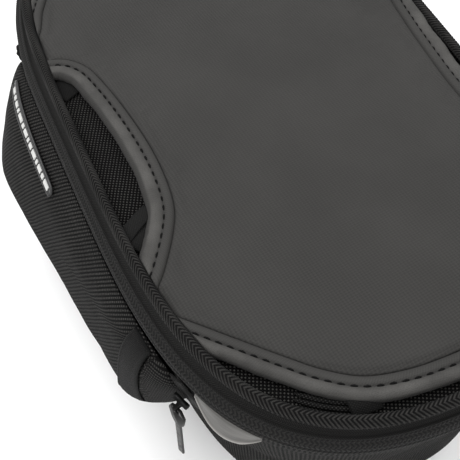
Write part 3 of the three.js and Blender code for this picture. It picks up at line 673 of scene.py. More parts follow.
def braided(points):
    """Raises slanting strands on a cord whose section is in the rows of the grid."""
    sides = points.shape[1]
    centre = points.mean(1, keepdims=True)
    u = path_lengths(points, 0, True)[:-1, None]
    fold = BRAID_STRIPE * (1 - np.abs((np.arange(sides) / sides * 4) % 2 - 1))[None]
    strand = np.sin(TURN * (u + fold) / BRAID_PITCH)
    return centre + (points - centre) * (1 + 0.06 * strand[..., None])


def add_piping(mats):
    section = round_section(0, 0, PIPING_Z, PIPING_RADIUS + 0.3, PIPING_SIDES)
    piece = ring_piece("braided_edge_piping", section, PIPING_STEPS, mats["piping"], braided)
    finished(piece, "base", "piping", "edge_piping")


def narrowed(points):
    """Draws the zip band in towards the far end, where it stands out less."""
    far = np.clip((points[..., 1] - 75) / 50, 0, 1)
    out = points[..., :2] / np.linalg.norm(points[..., :2], axis=-1)[..., None]
    side = np.abs(out[..., 0])
    points[..., :2] -= out * (BAND_NARROWING * far * side)[..., None]
    return points


def add_side_tape(mats):
    """The cloth that drops from the piping to the zip, hollow and then rolled over at its edge."""
    outer = [
        (0.4, 143.6), (1.5, 143.7), (2.2, 142.6), (2.9, 141.6), (3.8, 140.9), (4.6, 140.8), (5.1, 141.1),
        (5.6, 141.2), (5.9, 140.8), (5.8, 140.2),
    ]
    inner = [(5.0, 139.6), (3.8, 139.4), (2.6, 140.2), (1.6, 141.4), (0.8, 142.4), (0.0, 142.7)]
    section = [(side, side * ZIP_END / ZIP_SIDE, z) for side, z in outer + inner]

    def puckered(points):
        points[..., 2] += 0.16 * ripples(points, 14, 5)
        return narrowed(points)

    piece = ring_piece("herringbone_side_tape", section, 620, mats["tape"], puckered)
    finished(piece, "base", "zip_tape", "base_side_tape")


CHAIN_STEPS = 2400
TOOTH_PITCH = 2.1
CHAIN_MIDDLE = (7.3, 136.9)
CHAIN_REACH = 3.8
CHAIN_TILT = math.radians(-60)
BAND_NARROWING = 3.0


def add_chain(mats):
    """The closed zip, tilted outwards: two smooth rims with slanting teeth between them."""
    half = [(1.0, 0.0), (0.94, 0.55), (0.78, 0.8), (0.62, 0.6), (0.54, 0.62), (0.42, 1.15), (0.22, 1.4)]
    profile = mirrored(half[::-1]) + [(0.0, 1.5)] + half[::-1] + [(0.8, -0.9), (0.0, -1.0), (-0.8, -0.9)]
    along = (math.cos(CHAIN_TILT), math.sin(CHAIN_TILT))
    proud = (-along[1], along[0])
    section = []
    for share, lift in profile:
        side = CHAIN_MIDDLE[0] + along[0] * share * CHAIN_REACH + proud[0] * lift
        z = CHAIN_MIDDLE[1] + along[1] * share * CHAIN_REACH + proud[1] * lift
        section.append((side, side * ZIP_END / ZIP_SIDE, z))
    shares, lifts = np.array(profile).T
    on_teeth = np.clip(1 - np.abs(shares) / 0.52, 0, 1) ** 0.5 * (lifts > 0.3)

    def toothed(points):
        u = path_lengths(points, 0, True)[:-1, None]
        slant = np.abs(shares) * CHAIN_REACH * 0.9
        tooth = np.sin(TURN * (u + slant) / TOOTH_PITCH) * 0.36 * on_teeth
        out = points[..., :2] / np.linalg.norm(points[..., :2], axis=-1)[..., None]
        points[..., :2] += out * (tooth * proud[0])[..., None]
        points[..., 2] += tooth * proud[1]
        return narrowed(points)

    piece = ring_piece("base_zip_teeth", section, CHAIN_STEPS, mats["chain"], toothed)
    finished(piece, "bag", "zip_tape", "base_zip_chain")


HINGE_TURN = 0.375
HINGE_FOLD = [
    (5.8, 137.8), (3.6, 137.4), (1.6, 137.4), (0.9, 138.1), (1.6, 138.8), (3.6, 139.2), (4.5, 140.3),
    (4.9, 139.9), (4.0, 138.6), (1.9, 138.3), (1.4, 138.1), (1.9, 137.9), (3.6, 137.9), (5.8, 138.3),
]


def add_base_hinge(mats):
    """The cloth hinge at the far end: a fold behind the zip."""
    fold = np.array(HINGE_FOLD)
    step = np.arange(len(fold))
    finer = np.linspace(0, len(fold) - 1, 4 * len(fold) - 3)
    side, z = np.interp(finer, step, fold[:, 0]), np.interp(finer, step, fold[:, 1])
    angle = math.pi / 2 + np.linspace(-HINGE_TURN, HINGE_TURN, 80)
    xy = outline(angle[:, None], side[None], side[None] * ZIP_END / ZIP_SIDE)
    points = np.concatenate([xy, np.broadcast_to(z[None, :, None], xy.shape[:2] + (1,))], -1)
    piece = grid_piece("base_hinge_fold", points, mats["tape"], wrap_v=True, caps=True)
    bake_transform(piece)


def add_base_cover(mats):
    def sag(flat):
        edge = np.clip((1 - level(flat, 3)) * 3, 0, 1)
        return (-0.5 + 0.35 * ripples(flat, 34, 11)) * edge

    piece = plate_piece("base_woven_cover", -2.6, -2.6, BASE_TOP - 1.2, BASE_TOP, mats["ballistic"],
                        260, 60, sag)
    finished(piece, "base", "ballistic", "base_fabric")
    board = plate_piece("base_board_core", -4, -4, BASE_TOP - 4.6, BASE_TOP - 2.6, mats["board"], 160, 6)
    finished(board, "base", "board", "base_board")


# ---- grip pad, its bindings and stitches ----
LEFT_SCOOP = [
    (-128, 71), (-105, 67.5), (-95.5, 64), (-87, 54), (-81.5, 35), (-76.5, 4), (-74.5, -22),
    (-75.5, -46), (-78, -58.5), (-82, -68), (-90, -82), (-100, -96), (-128, -121),
]
RIGHT_SCOOP = [
    (128, 84), (106, 66), (97, 46), (93.5, 22), (91, -7), (89.5, -37), (91, -64), (96, -86),
    (108, -103), (128, -118),
]
NEAR_HALF = [
    (-128, -86), (-99.5, -112), (-80, -132), (-61.5, -151), (-51, -161), (-37, -170.3), (-19, -174.7),
    (0, -175.7),
]
FAR_HALF = [
    (-128, 74), (-106, 88), (-96, 112), (-80, 141), (-62, 162), (-44, 171.5), (-22, 174.5), (0, 175),
]
PAD_INSET = 3.0
PAD_UNDER = 142.7
SEAM_STEP = 1.5


def mirrored(points):
    return [(-x, y) for x, y in reversed(points)]


def seam_lines():
    """The four cut lines, anticlockwise round the pad, each from outline to outline."""
    whole = {
        "right": list(reversed(RIGHT_SCOOP)),
        "far": list(reversed(FAR_HALF + mirrored(FAR_HALF)[1:])),
        "left": LEFT_SCOOP,
        "near": NEAR_HALF + mirrored(NEAR_HALF)[1:],
    }
    lines = {}
    for name, points in whole.items():
        line = smooth_line(points, 0.5)
        lines[name] = resampled(line[level(line, PAD_INSET) < 1], SEAM_STEP)
    return lines


def angle_of(point):
    x, y = point
    width = (HALF_WIDTH - PAD_INSET) * (1 + TAPER * y / HALF_LENGTH)
    across = signed_power(x / width, SIDE_POWER / 2)
    along = signed_power(y / (HALF_LENGTH - PAD_INSET), END_POWER / 2)
    return math.atan2(along, across) % TURN


def pad_outline(lines):
    """The pad's edge, and for each point whether it lies on a seam."""
    names = list(lines)
    points, on_seam = [], []
    for k, name in enumerate(names):
        line = lines[name]
        points.append(line)
        on_seam.append(np.ones(len(line)))
        start, stop = angle_of(line[-1]), angle_of(lines[names[(k + 1) % 4]][0])
        arc = outline(np.linspace(start, start + (stop - start) % TURN, 60), -PAD_INSET, -PAD_INSET)
        arc = resampled(arc, 2.5)[1:-1]
        points.append(arc)
        on_seam.append(np.zeros(len(arc)))
    return np.concatenate(points), np.concatenate(on_seam)


def distance_to(edge, points):
    """Distance of each point from the closed edge, and the nearest edge point's number."""
    a = edge
    b = np.roll(edge, -1, axis=0)
    ab = b - a
    best = np.full(len(points), 1e9)
    nearest = np.zeros(len(points), int)
    for start in range(0, len(points), 500):
        p = points[start:start + 500, None]
        t = np.clip(((p - a) * ab).sum(-1) / (ab * ab).sum(-1), 0, 1)[..., None]
        gap = np.linalg.norm(p - (a + t * ab), axis=-1)
        nearest[start:start + 500] = gap.argmin(1)
        best[start:start + 500] = gap.min(1)
    return best, nearest


def pad_mesh(lines):
    """The pad's plan: points, triangles, each point's distance in and whether a seam is nearest."""
    edge, on_seam = pad_outline(lines)
    count = len(edge)
    inward = -normals_of(np.concatenate([edge[-1:], edge, edge[:1]]))[1:-1]
    candidates = [edge + inward * depth for depth in (1.0, 2.2, 4.0, 6.5)]
    step = 4.5
    xs = np.arange(-HALF_WIDTH, HALF_WIDTH, step)
    ys = np.arange(-HALF_LENGTH, HALF_LENGTH, step * 0.87)
    hexes = np.array([(x + (row % 2) * step / 2, y) for row, y in enumerate(ys) for x in xs])
    depths = [0.9, 2.0, 3.7, 6.0, 8.6]
    kept = []
    for points, depth in zip(candidates + [hexes], depths):
        gap, nearest = distance_to(edge, points)
        a = edge[nearest]
        side = ((points - a) * inward[nearest]).sum(-1)
        kept.append(points[(gap > depth) & (side > 0) & (level(points, PAD_INSET) < 1)])
    inner = np.concatenate(kept)
    every = np.concatenate([edge, inner])
    loop = [(i, (i + 1) % count) for i in range(count)]
    flat, _, triangles, *_ = delaunay_2d_cdt([Vector(p) for p in every], loop, [], 1, 1e-4)
    flat = np.array([tuple(p) for p in flat])
    gap, nearest = distance_to(edge, flat)
    return flat, triangles, gap, on_seam[nearest]


def pad_height(gap, seam):
    """Height of the pad's face at a distance in from its edge."""
    by_seam = np.interp(gap, [0, 0.6, 1.5, 3.5, 8, 20], [146.3, 147.0, 147.6, 148.0, 148.2, 148.1])
    by_piping = np.interp(gap, [0, 1, 3, 6, 14], [144.6, 145.9, 147.2, 147.9, 148.1])
    return np.where(seam > 0.5, by_seam, by_piping)


def pillowed(piece, pinned):
    """Fills the pad with air for a few frames, so that its face stretches as stuffed fabric does."""
    group = piece.vertex_groups.new(name="seam")
    group.add(pinned, 1.0, "REPLACE")
    cloth = piece.modifiers.new("cloth", "CLOTH")
    settings = cloth.settings
    settings.vertex_group_mass = "seam"
    settings.effector_weights.gravity = 0
    settings.use_pressure = True
    settings.uniform_pressure_force = 1.5
    settings.tension_stiffness = 25
    settings.compression_stiffness = 25
    settings.shear_stiffness = 10
    settings.bending_stiffness = 2.0
    settings.shrink_min = -0.012
    cloth.collision_settings.use_self_collision = False
    start = np.array([v.co for v in piece.data.vertices])
    scene = bpy.context.scene
    for number in range(1, 21):
        scene.frame_set(number)
    made = piece.evaluated_get(bpy.context.evaluated_depsgraph_get())
    end = np.array([v.co for v in made.data.vertices])
    piece.modifiers.remove(cloth)
    piece.vertex_groups.remove(group)
    scene.frame_set(1)
    move = end - start
    move *= np.minimum(1, PAD_SWELL * MM / np.maximum(np.linalg.norm(move, axis=1), 1e-9))[:, None]
    piece.data.vertices.foreach_set("co", (start + move).ravel())


PAD_SWELL = 1.3


def add_pad(mats, lines):
    flat, triangles, gap, seam = pad_mesh(lines)
    count = len(flat)
    top = pad_height(gap, seam)
    inner = np.clip(gap / 12, 0, 1)
    top += inner * (0.45 * ripples(flat, 75, 3) + 0.12 * ripples(flat, 26, 8))
    upper = np.column_stack([flat, top])
    lower = np.column_stack([flat, np.full(count, PAD_UNDER)])
    rim = np.where(gap < 1e-3)[0]
    used = {}
    for face in triangles:
        for a, b in zip(face, face[1:] + face[:1]):
            used[(a, b)] = True
    faces = [list(face) for face in triangles]
    faces += [[i + count for i in reversed(face)] for face in triangles]
    faces += [[b, a, a + count, b + count] for a, b in used if (b, a) not in used]
    piece = new_piece("grip_pad_face", np.concatenate([upper, lower]), faces, mats["grip"])
    fixed = np.concatenate([rim, np.arange(count, 2 * count), np.where(gap < 3)[0]])
    pillowed(piece, [int(i) for i in fixed])
    finer = piece.modifiers.new("finer", "SUBSURF")
    finer.levels = finer.render_levels = 1
    finished(piece, "base", "grip", "grip_pad", padded=0.5)


# Section of a binding: (out from the seam, height). A narrow fold, the stitched groove, then the roll.
BINDING_SECTION = [
    (-0.5, 145.4), (-0.1, 146.5), (0.3, 147.5), (0.9, 148.1), (2.0, 148.5), (3.3, 148.5), (4.2, 148.1),
    (4.6, 147.3), (5.0, 147.2), (5.5, 147.6), (6.3, 148.3), (7.5, 148.8), (9.0, 149.0), (10.5, 148.6),
    (11.8, 147.6), (12.8, 146.2), (13.2, 144.9), (12.8, 143.8), (11.6, 143.1), (8.0, 142.9), (3.0, 142.9),
    (0.2, 143.3),
]
NEAR_ROLL = 0.72
STITCH_OUT = 4.8
STITCH_HEIGHT = 147.68
STITCH_PITCH = 5.4
STITCH_LONG = 3.4


def add_binding(mats, name, line, roll=1.0):
    """Cloth folded over the pad's edge. roll scales how far its padded outer roll reaches."""
    out = normals_of(line)
    section = np.array(BINDING_SECTION)
    section[:, 0] = np.where(section[:, 0] > 5, 5 + (section[:, 0] - 5) * roll, section[:, 0])
    distance = np.broadcast_to(section[:, 0], (len(line), len(section))).copy()
    height = np.broadcast_to(section[:, 1], distance.shape).copy()
    along = np.arange(len(line)) * SEAM_STEP
    waves = 0.35 * ripples(along[:, None] * np.ones(1), 31, 21) + 0.12 * ripples(along[:, None], 7, 22)
    puff = np.clip((section[:, 0] - 5.2) / 4, 0, 1)[None]
    distance += waves[:, None] * puff * 0.8
    height += waves[:, None] * puff * (section[:, 1] > 146)[None]
    gather = np.cos(TURN * along / STITCH_PITCH)[:, None]
    near_stitch = np.exp(-((distance - STITCH_OUT) / 1.6) ** 2) * (section[:, 1] > 146.5)[None]
    height += 0.12 * gather * near_stitch
    xy = line[:, None] + out[:, None] * distance[..., None]
    held = held_inside(xy, PAD_INSET)
    pushed = np.linalg.norm(held - xy, axis=-1)
    height -= np.clip(pushed * 0.35, 0, 2.2) * (section[:, 1] > 145)[None]
    points = np.concatenate([held, height[..., None]], -1)
    piece = grid_piece(f"{name}_binding_roll", points, mats["binding"], wrap_v=True, caps=True)
    finished(piece, "base", "binding", f"{name}_binding", padded=0.7)


def capsule(at, way, up, long, radius, sides=6):
    """A short thread with round ends: its points and faces."""
    way = way / np.linalg.norm(way)
    side = np.cross(way, up)
    side /= np.linalg.norm(side)
    up = np.cross(side, way)
    stations = [(-0.5, 0.35), (-0.38, 0.85), (0, 1.0), (0.38, 0.85), (0.5, 0.35)]
    verts, faces = [], []
    for place, size in stations:
        for k in range(sides):
            a = TURN * k / sides
            sag = -radius * 1.2 * (2 * place) ** 2
            verts.append(at + way * place * long + up * sag
                         + (side * math.cos(a) + up * math.sin(a)) * radius * size)
    for r in range(len(stations) - 1):
        for k in range(sides):
            n = (k + 1) % sides
            faces.append([r * sides + k, r * sides + n, (r + 1) * sides + n, (r + 1) * sides + k])
    faces.append(list(range(sides)))
    faces.append([(len(stations) - 1) * sides + k for k in range(sides)])
    return verts, faces


def stitch_row(name, places, ways, ups, material, long=STITCH_LONG, radius=0.58):
    """One piece with a thread at each place."""
    verts, faces = [], []
    for at, way, up in zip(places, ways, ups):
        more, shape = capsule(np.array(at, float), np.array(way, float), np.array(up, float), long, radius)
        faces += [[i + len(verts) for i in face] for face in shape]
        verts += more
    return new_piece(name, np.array(verts), faces, material)


def add_pad_stitches(mats, name, line):
    run = resampled(line + normals_of(line) * STITCH_OUT, STITCH_PITCH)
    run = run[level(run, PAD_INSET + 0.6) < 1]
    ways = np.gradient(run, axis=0)
    places = np.column_stack([run, np.full(len(run), STITCH_HEIGHT)])
    ways = np.column_stack([ways, np.zeros(len(run))])
    ups = np.tile([0, 0, 1.0], (len(run), 1))
    piece = stitch_row(f"{name}_binding_stitches", places, ways, ups, mats["thread"])
    finished(piece, "base", "binding")


# ---- straps in the openings of the base ----
def strap_strip(name, line, widths_way, width, thick, material, body, slot, *nodes):
    """A flat strap along a line of points, as wide as width along widths_way."""
    line = np.array(line, float)
    across = np.array(widths_way, float)
    across /= np.linalg.norm(across)
    along = np.gradient(line, axis=0)
    along /= np.linalg.norm(along, axis=1)[:, None]
    up = np.cross(along, across)
    up /= np.linalg.norm(up, axis=1)[:, None]
    half, round_edge = width / 2, thick * 0.45
    flat = half - round_edge
    section = [
        (-flat, thick / 2), (0, thick / 2 * 1.04), (flat, thick / 2), (half, 0),
        (flat, -thick / 2), (0, -thick / 2), (-flat, -thick / 2), (-half, 0),
    ]
    points = np.stack([line + across * a + up * b for a, b in section], 1)
    piece = grid_piece(name, points, material, wrap_v=True, caps=True)
    return finished(piece, body, slot, *nodes)


def turned(x, y, angle):
    return np.array([x * math.cos(angle) - y * math.sin(angle), x * math.sin(angle) + y * math.cos(angle)])


def add_anchors(mats):
    """Flat anchors in the openings, the folded one at the left, and the tabs at the ends."""
    low = BASE_TOP + 0.9
    anchors = [
        ("left_far_anchor", (-101, 47), 16, 15, -1.05),
        ("right_far_anchor", (100, 44), 14, 5, 0),
        ("right_near_anchor", (100, -80), 14, 5, 0),
    ]
    for name, centre, long, wide, angle in anchors:
        reach = np.linspace(-long / 2, long / 2 - 2, 12)
        line = [(*(turned(0, s, angle) + centre), low + 0.1 * math.sin(s)) for s in reach]
        across = (*turned(1, 0, angle), 0)
        strap_strip(f"{name}_webbing", line, across, wide, 1.1, mats["strap"], "base", "strap", name)
    start, end, across = np.array([-86.0, -54.0]), np.array([-104.5, -67.0]), np.array([-0.575, 0.818])
    t = np.linspace(0, 1, 24)
    for k, (shift, wide, lift, nodes) in enumerate(((0, 15, 1.6, ["left_near_anchor"]), (3.2, 8, 3.0, []))):
        xy = start + (end - start) * t[:, None] + across * shift
        z = low + 0.2 + lift * np.sin(math.pi * (0.15 + 0.8 * t)) ** 0.7
        strap_strip(f"left_near_anchor_fold_{k + 1}", np.column_stack([xy, z]), (*across, 0), wide, 1.1,
                    mats["plain"], "base", "strap", *nodes)
    for name, x, y in (("near_strap_tab", -41, -179), ("far_strap_tab", 46, 179)):
        side = math.copysign(1, y)
        span = np.linspace(-4, 5.5, 15)
        line = [(x, y + side * s, low + 2.4 * math.cos(s / 5.5 * math.pi / 2)) for s in span]
        strap_strip(f"{name}_loop", line, (1, 0, 0), 14, 1.2, mats["strap"], "base", "strap", name)


def add_folded_hem(mats):
    """Corded folds of the cover beside the near binding, left of the strap tab."""
    t = np.linspace(4.06, 4.42, 60)
    for k, inset in enumerate((4.2, 7.0, 9.6)):
        xy = outline(t, -inset, -inset)
        angle = np.arange(10) / 10 * TURN
        out = -normals_of(xy)
        radius = 1.25 * np.clip(np.minimum(t - t[0], t[-1] - t) / 0.05, 0.15, 1) ** 0.5
        ring = xy[:, None] + out[:, None] * (np.cos(angle)[None] * radius[:, None])[..., None]
        z = BASE_TOP + 0.5 + (np.sin(angle)[None] * radius[:, None])
        points = np.concatenate([ring, z[..., None]], -1)
        piece = grid_piece(f"near_hem_fold_{k + 1}", points, mats["ballistic_fine"], wrap_v=True, caps=True)
        finished(piece, "base", "ballistic")


# ---- body: wall, floor, lining ----
def add_wall(mats):
    heights = np.concatenate([[5.6], np.linspace(6.6, 130, 56), [131.5, 132.8]])
    side, end = wall_at(heights)
    outer = np.column_stack([side, end, heights])
    side, end = wall_at(heights[::-3])
    inner = np.column_stack([side - 1.6, end - 1.6, heights[::-3]])
    rows = len(outer)

    def sagging(points):
        body = points[:, :rows]
        z = body[..., 2]
        free = np.clip((z - 10) / 25, 0, 1) * np.clip((124 - z) / 20, 0, 1)
        sink = free * (0.9 + 0.55 * ripples(body, 55, 31) + 0.2 * ripples(body, 19, 32))
        seam = np.exp(-((z - 16) / 0.8) ** 2) * 0.6 + np.exp(-((z - 123.5) / 0.7) ** 2) * 0.6
        outward = body[..., :2] / np.linalg.norm(body[..., :2], axis=-1)[..., None]
        body[..., :2] -= outward * (sink + seam)[..., None]
        return points

    piece = ring_piece("bag_side_wall", np.concatenate([outer, inner]), 420, mats["rib"], sagging)
    finished(piece, "bag", "rib_weave", "main_shell")


def wall_section(outer, inner, low, high, rows=12):
    heights = np.linspace(low, high, rows)
    side, end = wall_at(heights)
    out = np.column_stack([side - outer, end - outer, heights])
    back = np.column_stack([side - inner, end - inner, heights])[::-1]
    return np.concatenate([out, back])


def add_inside(mats):
    foam = ring_piece("wall_foam_core", wall_section(2.2, 5.8, 19.5, 121.5), 160, mats["foam"])
    finished(foam, "bag", "foam", "wall_foam", padded=0.9)

    def loose(points):
        points[..., :2] *= 1 - 0.003 * (1 + ripples(points, 30, 41))[..., None]
        return points

    section = wall_section(6.6, 7.1, 19.5, 121.5, 24)
    lining = ring_piece("wall_lining_cloth", section, 260, mats["lining"], loose)
    finished(lining, "bag", "lining", "wall_lining")

    def dimpled(flat):
        return -0.25 + 0.22 * ripples(flat, 45, 51)

    cover = plate_piece("floor_woven_cover", 4, -4, 129.7, 131, mats["rib"], 200, 40, dimpled)
    finished(cover, "bag", "rib_weave", "floor_fabric")
    board = plate_piece("floor_board_core", 2, -6, 126.4, 129.2, mats["board"], 160, 6)
    finished(board, "bag", "board", "floor_board")

    def creased(flat):
        return -0.1 + 0.1 * ripples(flat, 30, 52)

    cloth = plate_piece("floor_lining_cloth", 1, -7, 125, 126, mats["lining"], 160, 24, creased)
    finished(cloth, "bag", "lining", "floor_lining")


# ---- side pockets ----
POCKET_RINGS = 64
POCKET_ROUND = 320
POCKET_SKIN = 2.4
PANEL_SEAM_Y = -116.5
STRAP_TOP = 126
STRAP_SLANT = 0.12
RIB_SLANT = math.radians(38)
STRAP_Y = -107.5


def strap_drift(z):
    """How far the strap and the panel seam have moved along the bag at a height."""
    return STRAP_SLANT * (STRAP_TOP - z)


def pocket_grid(side_sign, depth, rings, around):
    s = np.linspace(0, 1, rings + 1)[1:][None] ** 0.6
    angle = ((np.arange(around) + 0.5) / around * TURN)[:, None]
    y, z = pocket_outline(angle, -depth, s)
    bulge = (pocket_depth(y, z) - depth) * pocket_profile(s, np.maximum(0, -np.cos(angle)))
    x = side_sign * (wall_half_width(y, z) + POCKET_GAP + bulge)
    return np.stack([x, y, z], -1), s


def add_pocket_cover(mats, name, side_sign):
    outer, s = pocket_grid(side_sign, 0, POCKET_RINGS, POCKET_ROUND)
    y, z = outer[..., 1], outer[..., 2]
    face = np.clip((1 - s) * 5, 0, 1)
    sink = face * (0.7 + 0.5 * ripples(outer, 42, 61) + 0.15 * ripples(outer, 15, 62))
    past_seam = y - strap_drift(z) - PANEL_SEAM_Y
    seam = 0.9 * np.exp(-((past_seam - 1.5) / 0.7) ** 2)
    bead = 1.1 * np.exp(-(past_seam / 0.9) ** 2)
    strap_press = 0.5 * np.exp(-((y - strap_drift(z) - STRAP_Y) / 9) ** 4)
    outer[..., 0] += side_sign * (bead - seam - sink - strap_press) * np.clip((1 - s ** 8) * 3, 0, 1)
    inner, _ = pocket_grid(side_sign, POCKET_SKIN, 24, POCKET_ROUND)
    top = np.array([outer[:, 0].mean(0)])
    bottom = np.array([inner[:, 0].mean(0)])
    grid = np.concatenate([outer, inner[:, ::-1]], 1)
    rows = grid.shape[1]
    cloth = np.concatenate([pocket_cloth(outer), pocket_cloth(inner)[:, ::-1]], 1)
    verts = np.concatenate([grid.reshape(-1, 3), top, bottom])
    flat = np.concatenate([cloth.reshape(-1, 2), [cloth[:, 0].mean(0)], [cloth[:, -1].mean(0)]])
    faces = closed_faces(len(grid), rows)
    on_end = verts[:, 1] - strap_drift(verts[:, 2]) < PANEL_SEAM_Y
    end_panel = np.stack([verts[:, 2], -verts[:, 1] - np.abs(verts[:, 0])], -1)
    uvs = np.array([(end_panel if all(on_end[face]) else flat)[i] for face in faces for i in face])
    piece = new_piece(f"{name}_cover_fabric", verts, faces, mats["rib"], uvs)
    finished(piece, name, "rib_weave", f"{name}_cover")


def pocket_cloth(grid):
    """Lengths of cloth along the pocket and up it, turned so that the ribs run across it at a slant.

    The cloth's own depth counts along the pocket at its ends, and up the pocket elsewhere."""
    steps = np.diff(grid, axis=1)
    angle = ((np.arange(len(grid)) + 0.5) / len(grid) * TURN)[:, None]
    at_end = np.cos(angle) ** 8 / (np.cos(angle) ** 8 + np.sin(angle) ** 8)
    sideways = steps[..., 0] ** 2
    along = np.sign(np.cos(angle)) * np.sqrt(steps[..., 1] ** 2 + at_end * sideways)
    up = np.sign(np.sin(angle)) * np.sqrt(steps[..., 2] ** 2 + (1 - at_end) * sideways)
    start = np.zeros((len(grid), 1))
    y = grid[:, :1, 1] + np.concatenate([start, np.cumsum(along, 1)], 1)
    h = grid[:, :1, 2] + np.concatenate([start, np.cumsum(up, 1)], 1)
    return np.stack([y * math.cos(RIB_SLANT) + h * math.sin(RIB_SLANT),
                     h * math.cos(RIB_SLANT) - y * math.sin(RIB_SLANT)], -1)


def add_pocket_zip(mats, name, side_sign):
    angle = np.linspace(math.pi - 0.66, TURN + 0.66, 420)[:, None]
    section = np.array([
        (0.6, 1.3), (0.9, 2.0), (2.2, 2.3), (3.4, 2.4), (3.9, 2.7), (4.8, 3.0), (5.7, 2.7), (6.2, 2.4),
        (7.4, 2.3), (8.7, 2.0), (9.0, 1.3), (8.6, 0.9), (1.0, 0.9),
    ])
    y, z = pocket_outline(angle, section[None, :, 0])
    lift = np.broadcast_to(section[None, :, 1], y.shape).copy()
    on_teeth = np.exp(-((section[:, 0] - 4.8) / 0.8) ** 2)[None] * (section[:, 1] > 1.5)[None]
    run = np.arange(len(angle))[:, None]
    lift += 0.25 * on_teeth * np.where(run % 2 == 0, 1, -1)
    x = side_sign * (wall_half_width(y, z) + lift)
    piece = grid_piece(f"{name}_zip_band", np.stack([x, y, z], -1), mats["tape"], wrap_v=True, caps=True)
    finished(piece, "bag", "zip_tape", f"{name}_zip")


def strip_on_pocket(name, ys, zs, section, material, side_sign, body, slot, *nodes):
    """A strip over the pocket's outside. section is (across, lift); ys and zs give its middle line."""
    ys, zs = np.array(ys, float), np.array(zs, float)
    way = np.stack([np.gradient(ys), np.gradient(zs)], -1)
    way /= np.linalg.norm(way, axis=1)[:, None]
    across = np.stack([way[:, 1], -way[:, 0]], -1)
    section = np.array(section, float)
    y = ys[:, None] + across[:, :1] * section[None, :, 0]
    z = zs[:, None] + across[:, 1:] * section[None, :, 0]
    x = side_sign * (pocket_outside(y, z) + section[None, :, 1])
    piece = grid_piece(name, np.stack([x, y, z], -1), material, wrap_v=True, caps=True)
    return finished(piece, body, slot, *nodes)


def add_pocket_strap(mats, name, side_sign):
    zs = np.linspace(127, 54, 90)
    ys = STRAP_Y + strap_drift(zs)
    side = [(3, 1.3), (5.5, 1.1), (6.1, 1.3), (7.2, 1.0), (7.5, 0.3), (6.9, -0.3)]
    section = mirrored(side) + [(0, 1.4)] + side
    section = section[1:] + section[:1]
    strip_on_pocket(f"{name}_strap", ys, zs, section, mats["strap"], side_sign, name, "strap",
                    f"{name}_webbing")


LABEL_MIDDLE, LABEL_LONG, LABEL_HALF = 44.5, 87.0, 3.0
LABEL_MARGIN = 4
BAR_LENGTHS = [6.5, 3, 5, 2.2, 6, 4, 2.2, 5.5, 3, 6.5, 2.2, 4.5, 3, 5]
BAR_TOP, BAR_UNDER = 1.4, 0.6


def label_z(y):
    """Height of the label's middle, which rises a little towards the far end."""
    return 116 + 0.05 * (y - 1)


def add_label(mats, name, side_sign):
    """A raised rubber strip with a plain row of bars on it."""
    half = LABEL_HALF
    side = [(half - 1.5, 0.8), (half - 1.2, 1.2), (half - 0.7, 1.3), (half - 0.2, 1.0), (half, 0.2)]
    ring = np.array(mirrored(side) + [(0, 0.8)] + side + [(0, -0.6)])
    ys = np.linspace(LABEL_MIDDLE + LABEL_LONG / 2, LABEL_MIDDLE - LABEL_LONG / 2, 60)
    ends = np.clip(np.minimum(ys - ys[-1], ys[0] - ys) / 5, 0, 1)
    narrow = np.sqrt(1 - (1 - ends) ** 2) * 0.55 + 0.45
    y = np.broadcast_to(ys[:, None], (len(ys), len(ring)))
    z = label_z(y) + ring[None, :, 0] * narrow[:, None]
    x = side_sign * (pocket_outside(y, z) + ring[None, :, 1])
    piece = grid_piece(f"{name}_label_strip", np.stack([x, y, z], -1), mats["rubber"], wrap_v=True, caps=True)
    finished(piece, name, "label", f"{name}_label")
    add_label_bars(mats, name, side_sign)


def add_label_bars(mats, name, side_sign):
    """Bars of uneven length along the label. Each is a block of 4 by 3 points above and below."""
    gap = (LABEL_LONG - 2 * LABEL_MARGIN - sum(BAR_LENGTHS)) / (len(BAR_LENGTHS) - 1)
    start = LABEL_MIDDLE - LABEL_LONG / 2 + LABEL_MARGIN
    far_end = LABEL_MIDDLE + LABEL_LONG / 2
    loop = [0, 3, 6, 9, 10, 11, 8, 5, 2, 1]
    verts, faces = [], []
    for wide in BAR_LENGTHS:
        tall = 0.62 + 0.4 * (far_end - start) / LABEL_LONG
        base = len(verts)
        for lift in (BAR_TOP, BAR_UNDER):
            for y in np.linspace(start, start + wide, 4):
                for z in label_z(y) + np.array([-tall, 0, tall]):
                    verts.append((side_sign * (float(pocket_outside(y, z)) + lift), y, z))
        for corner in (0, 1, 3, 4, 6, 7):
            cell = [base + corner + step for step in (0, 3, 4, 1)]
            faces.append(cell)
            faces.append([i + 12 for i in reversed(cell)])
        for a, b in zip(loop, loop[1:] + loop[:1]):
            faces.append([base + a, base + b, base + 12 + b, base + 12 + a])
        start += wide + gap
    marks = new_piece(f"{name}_label_bars", np.array(verts), faces, mats["white"], smooth=False)
    finished(marks, name, "label")


# ---- reflectors on the near corners ----
REFLECTOR_TOP = 131.8
REFLECTOR_SWELL = 5.0


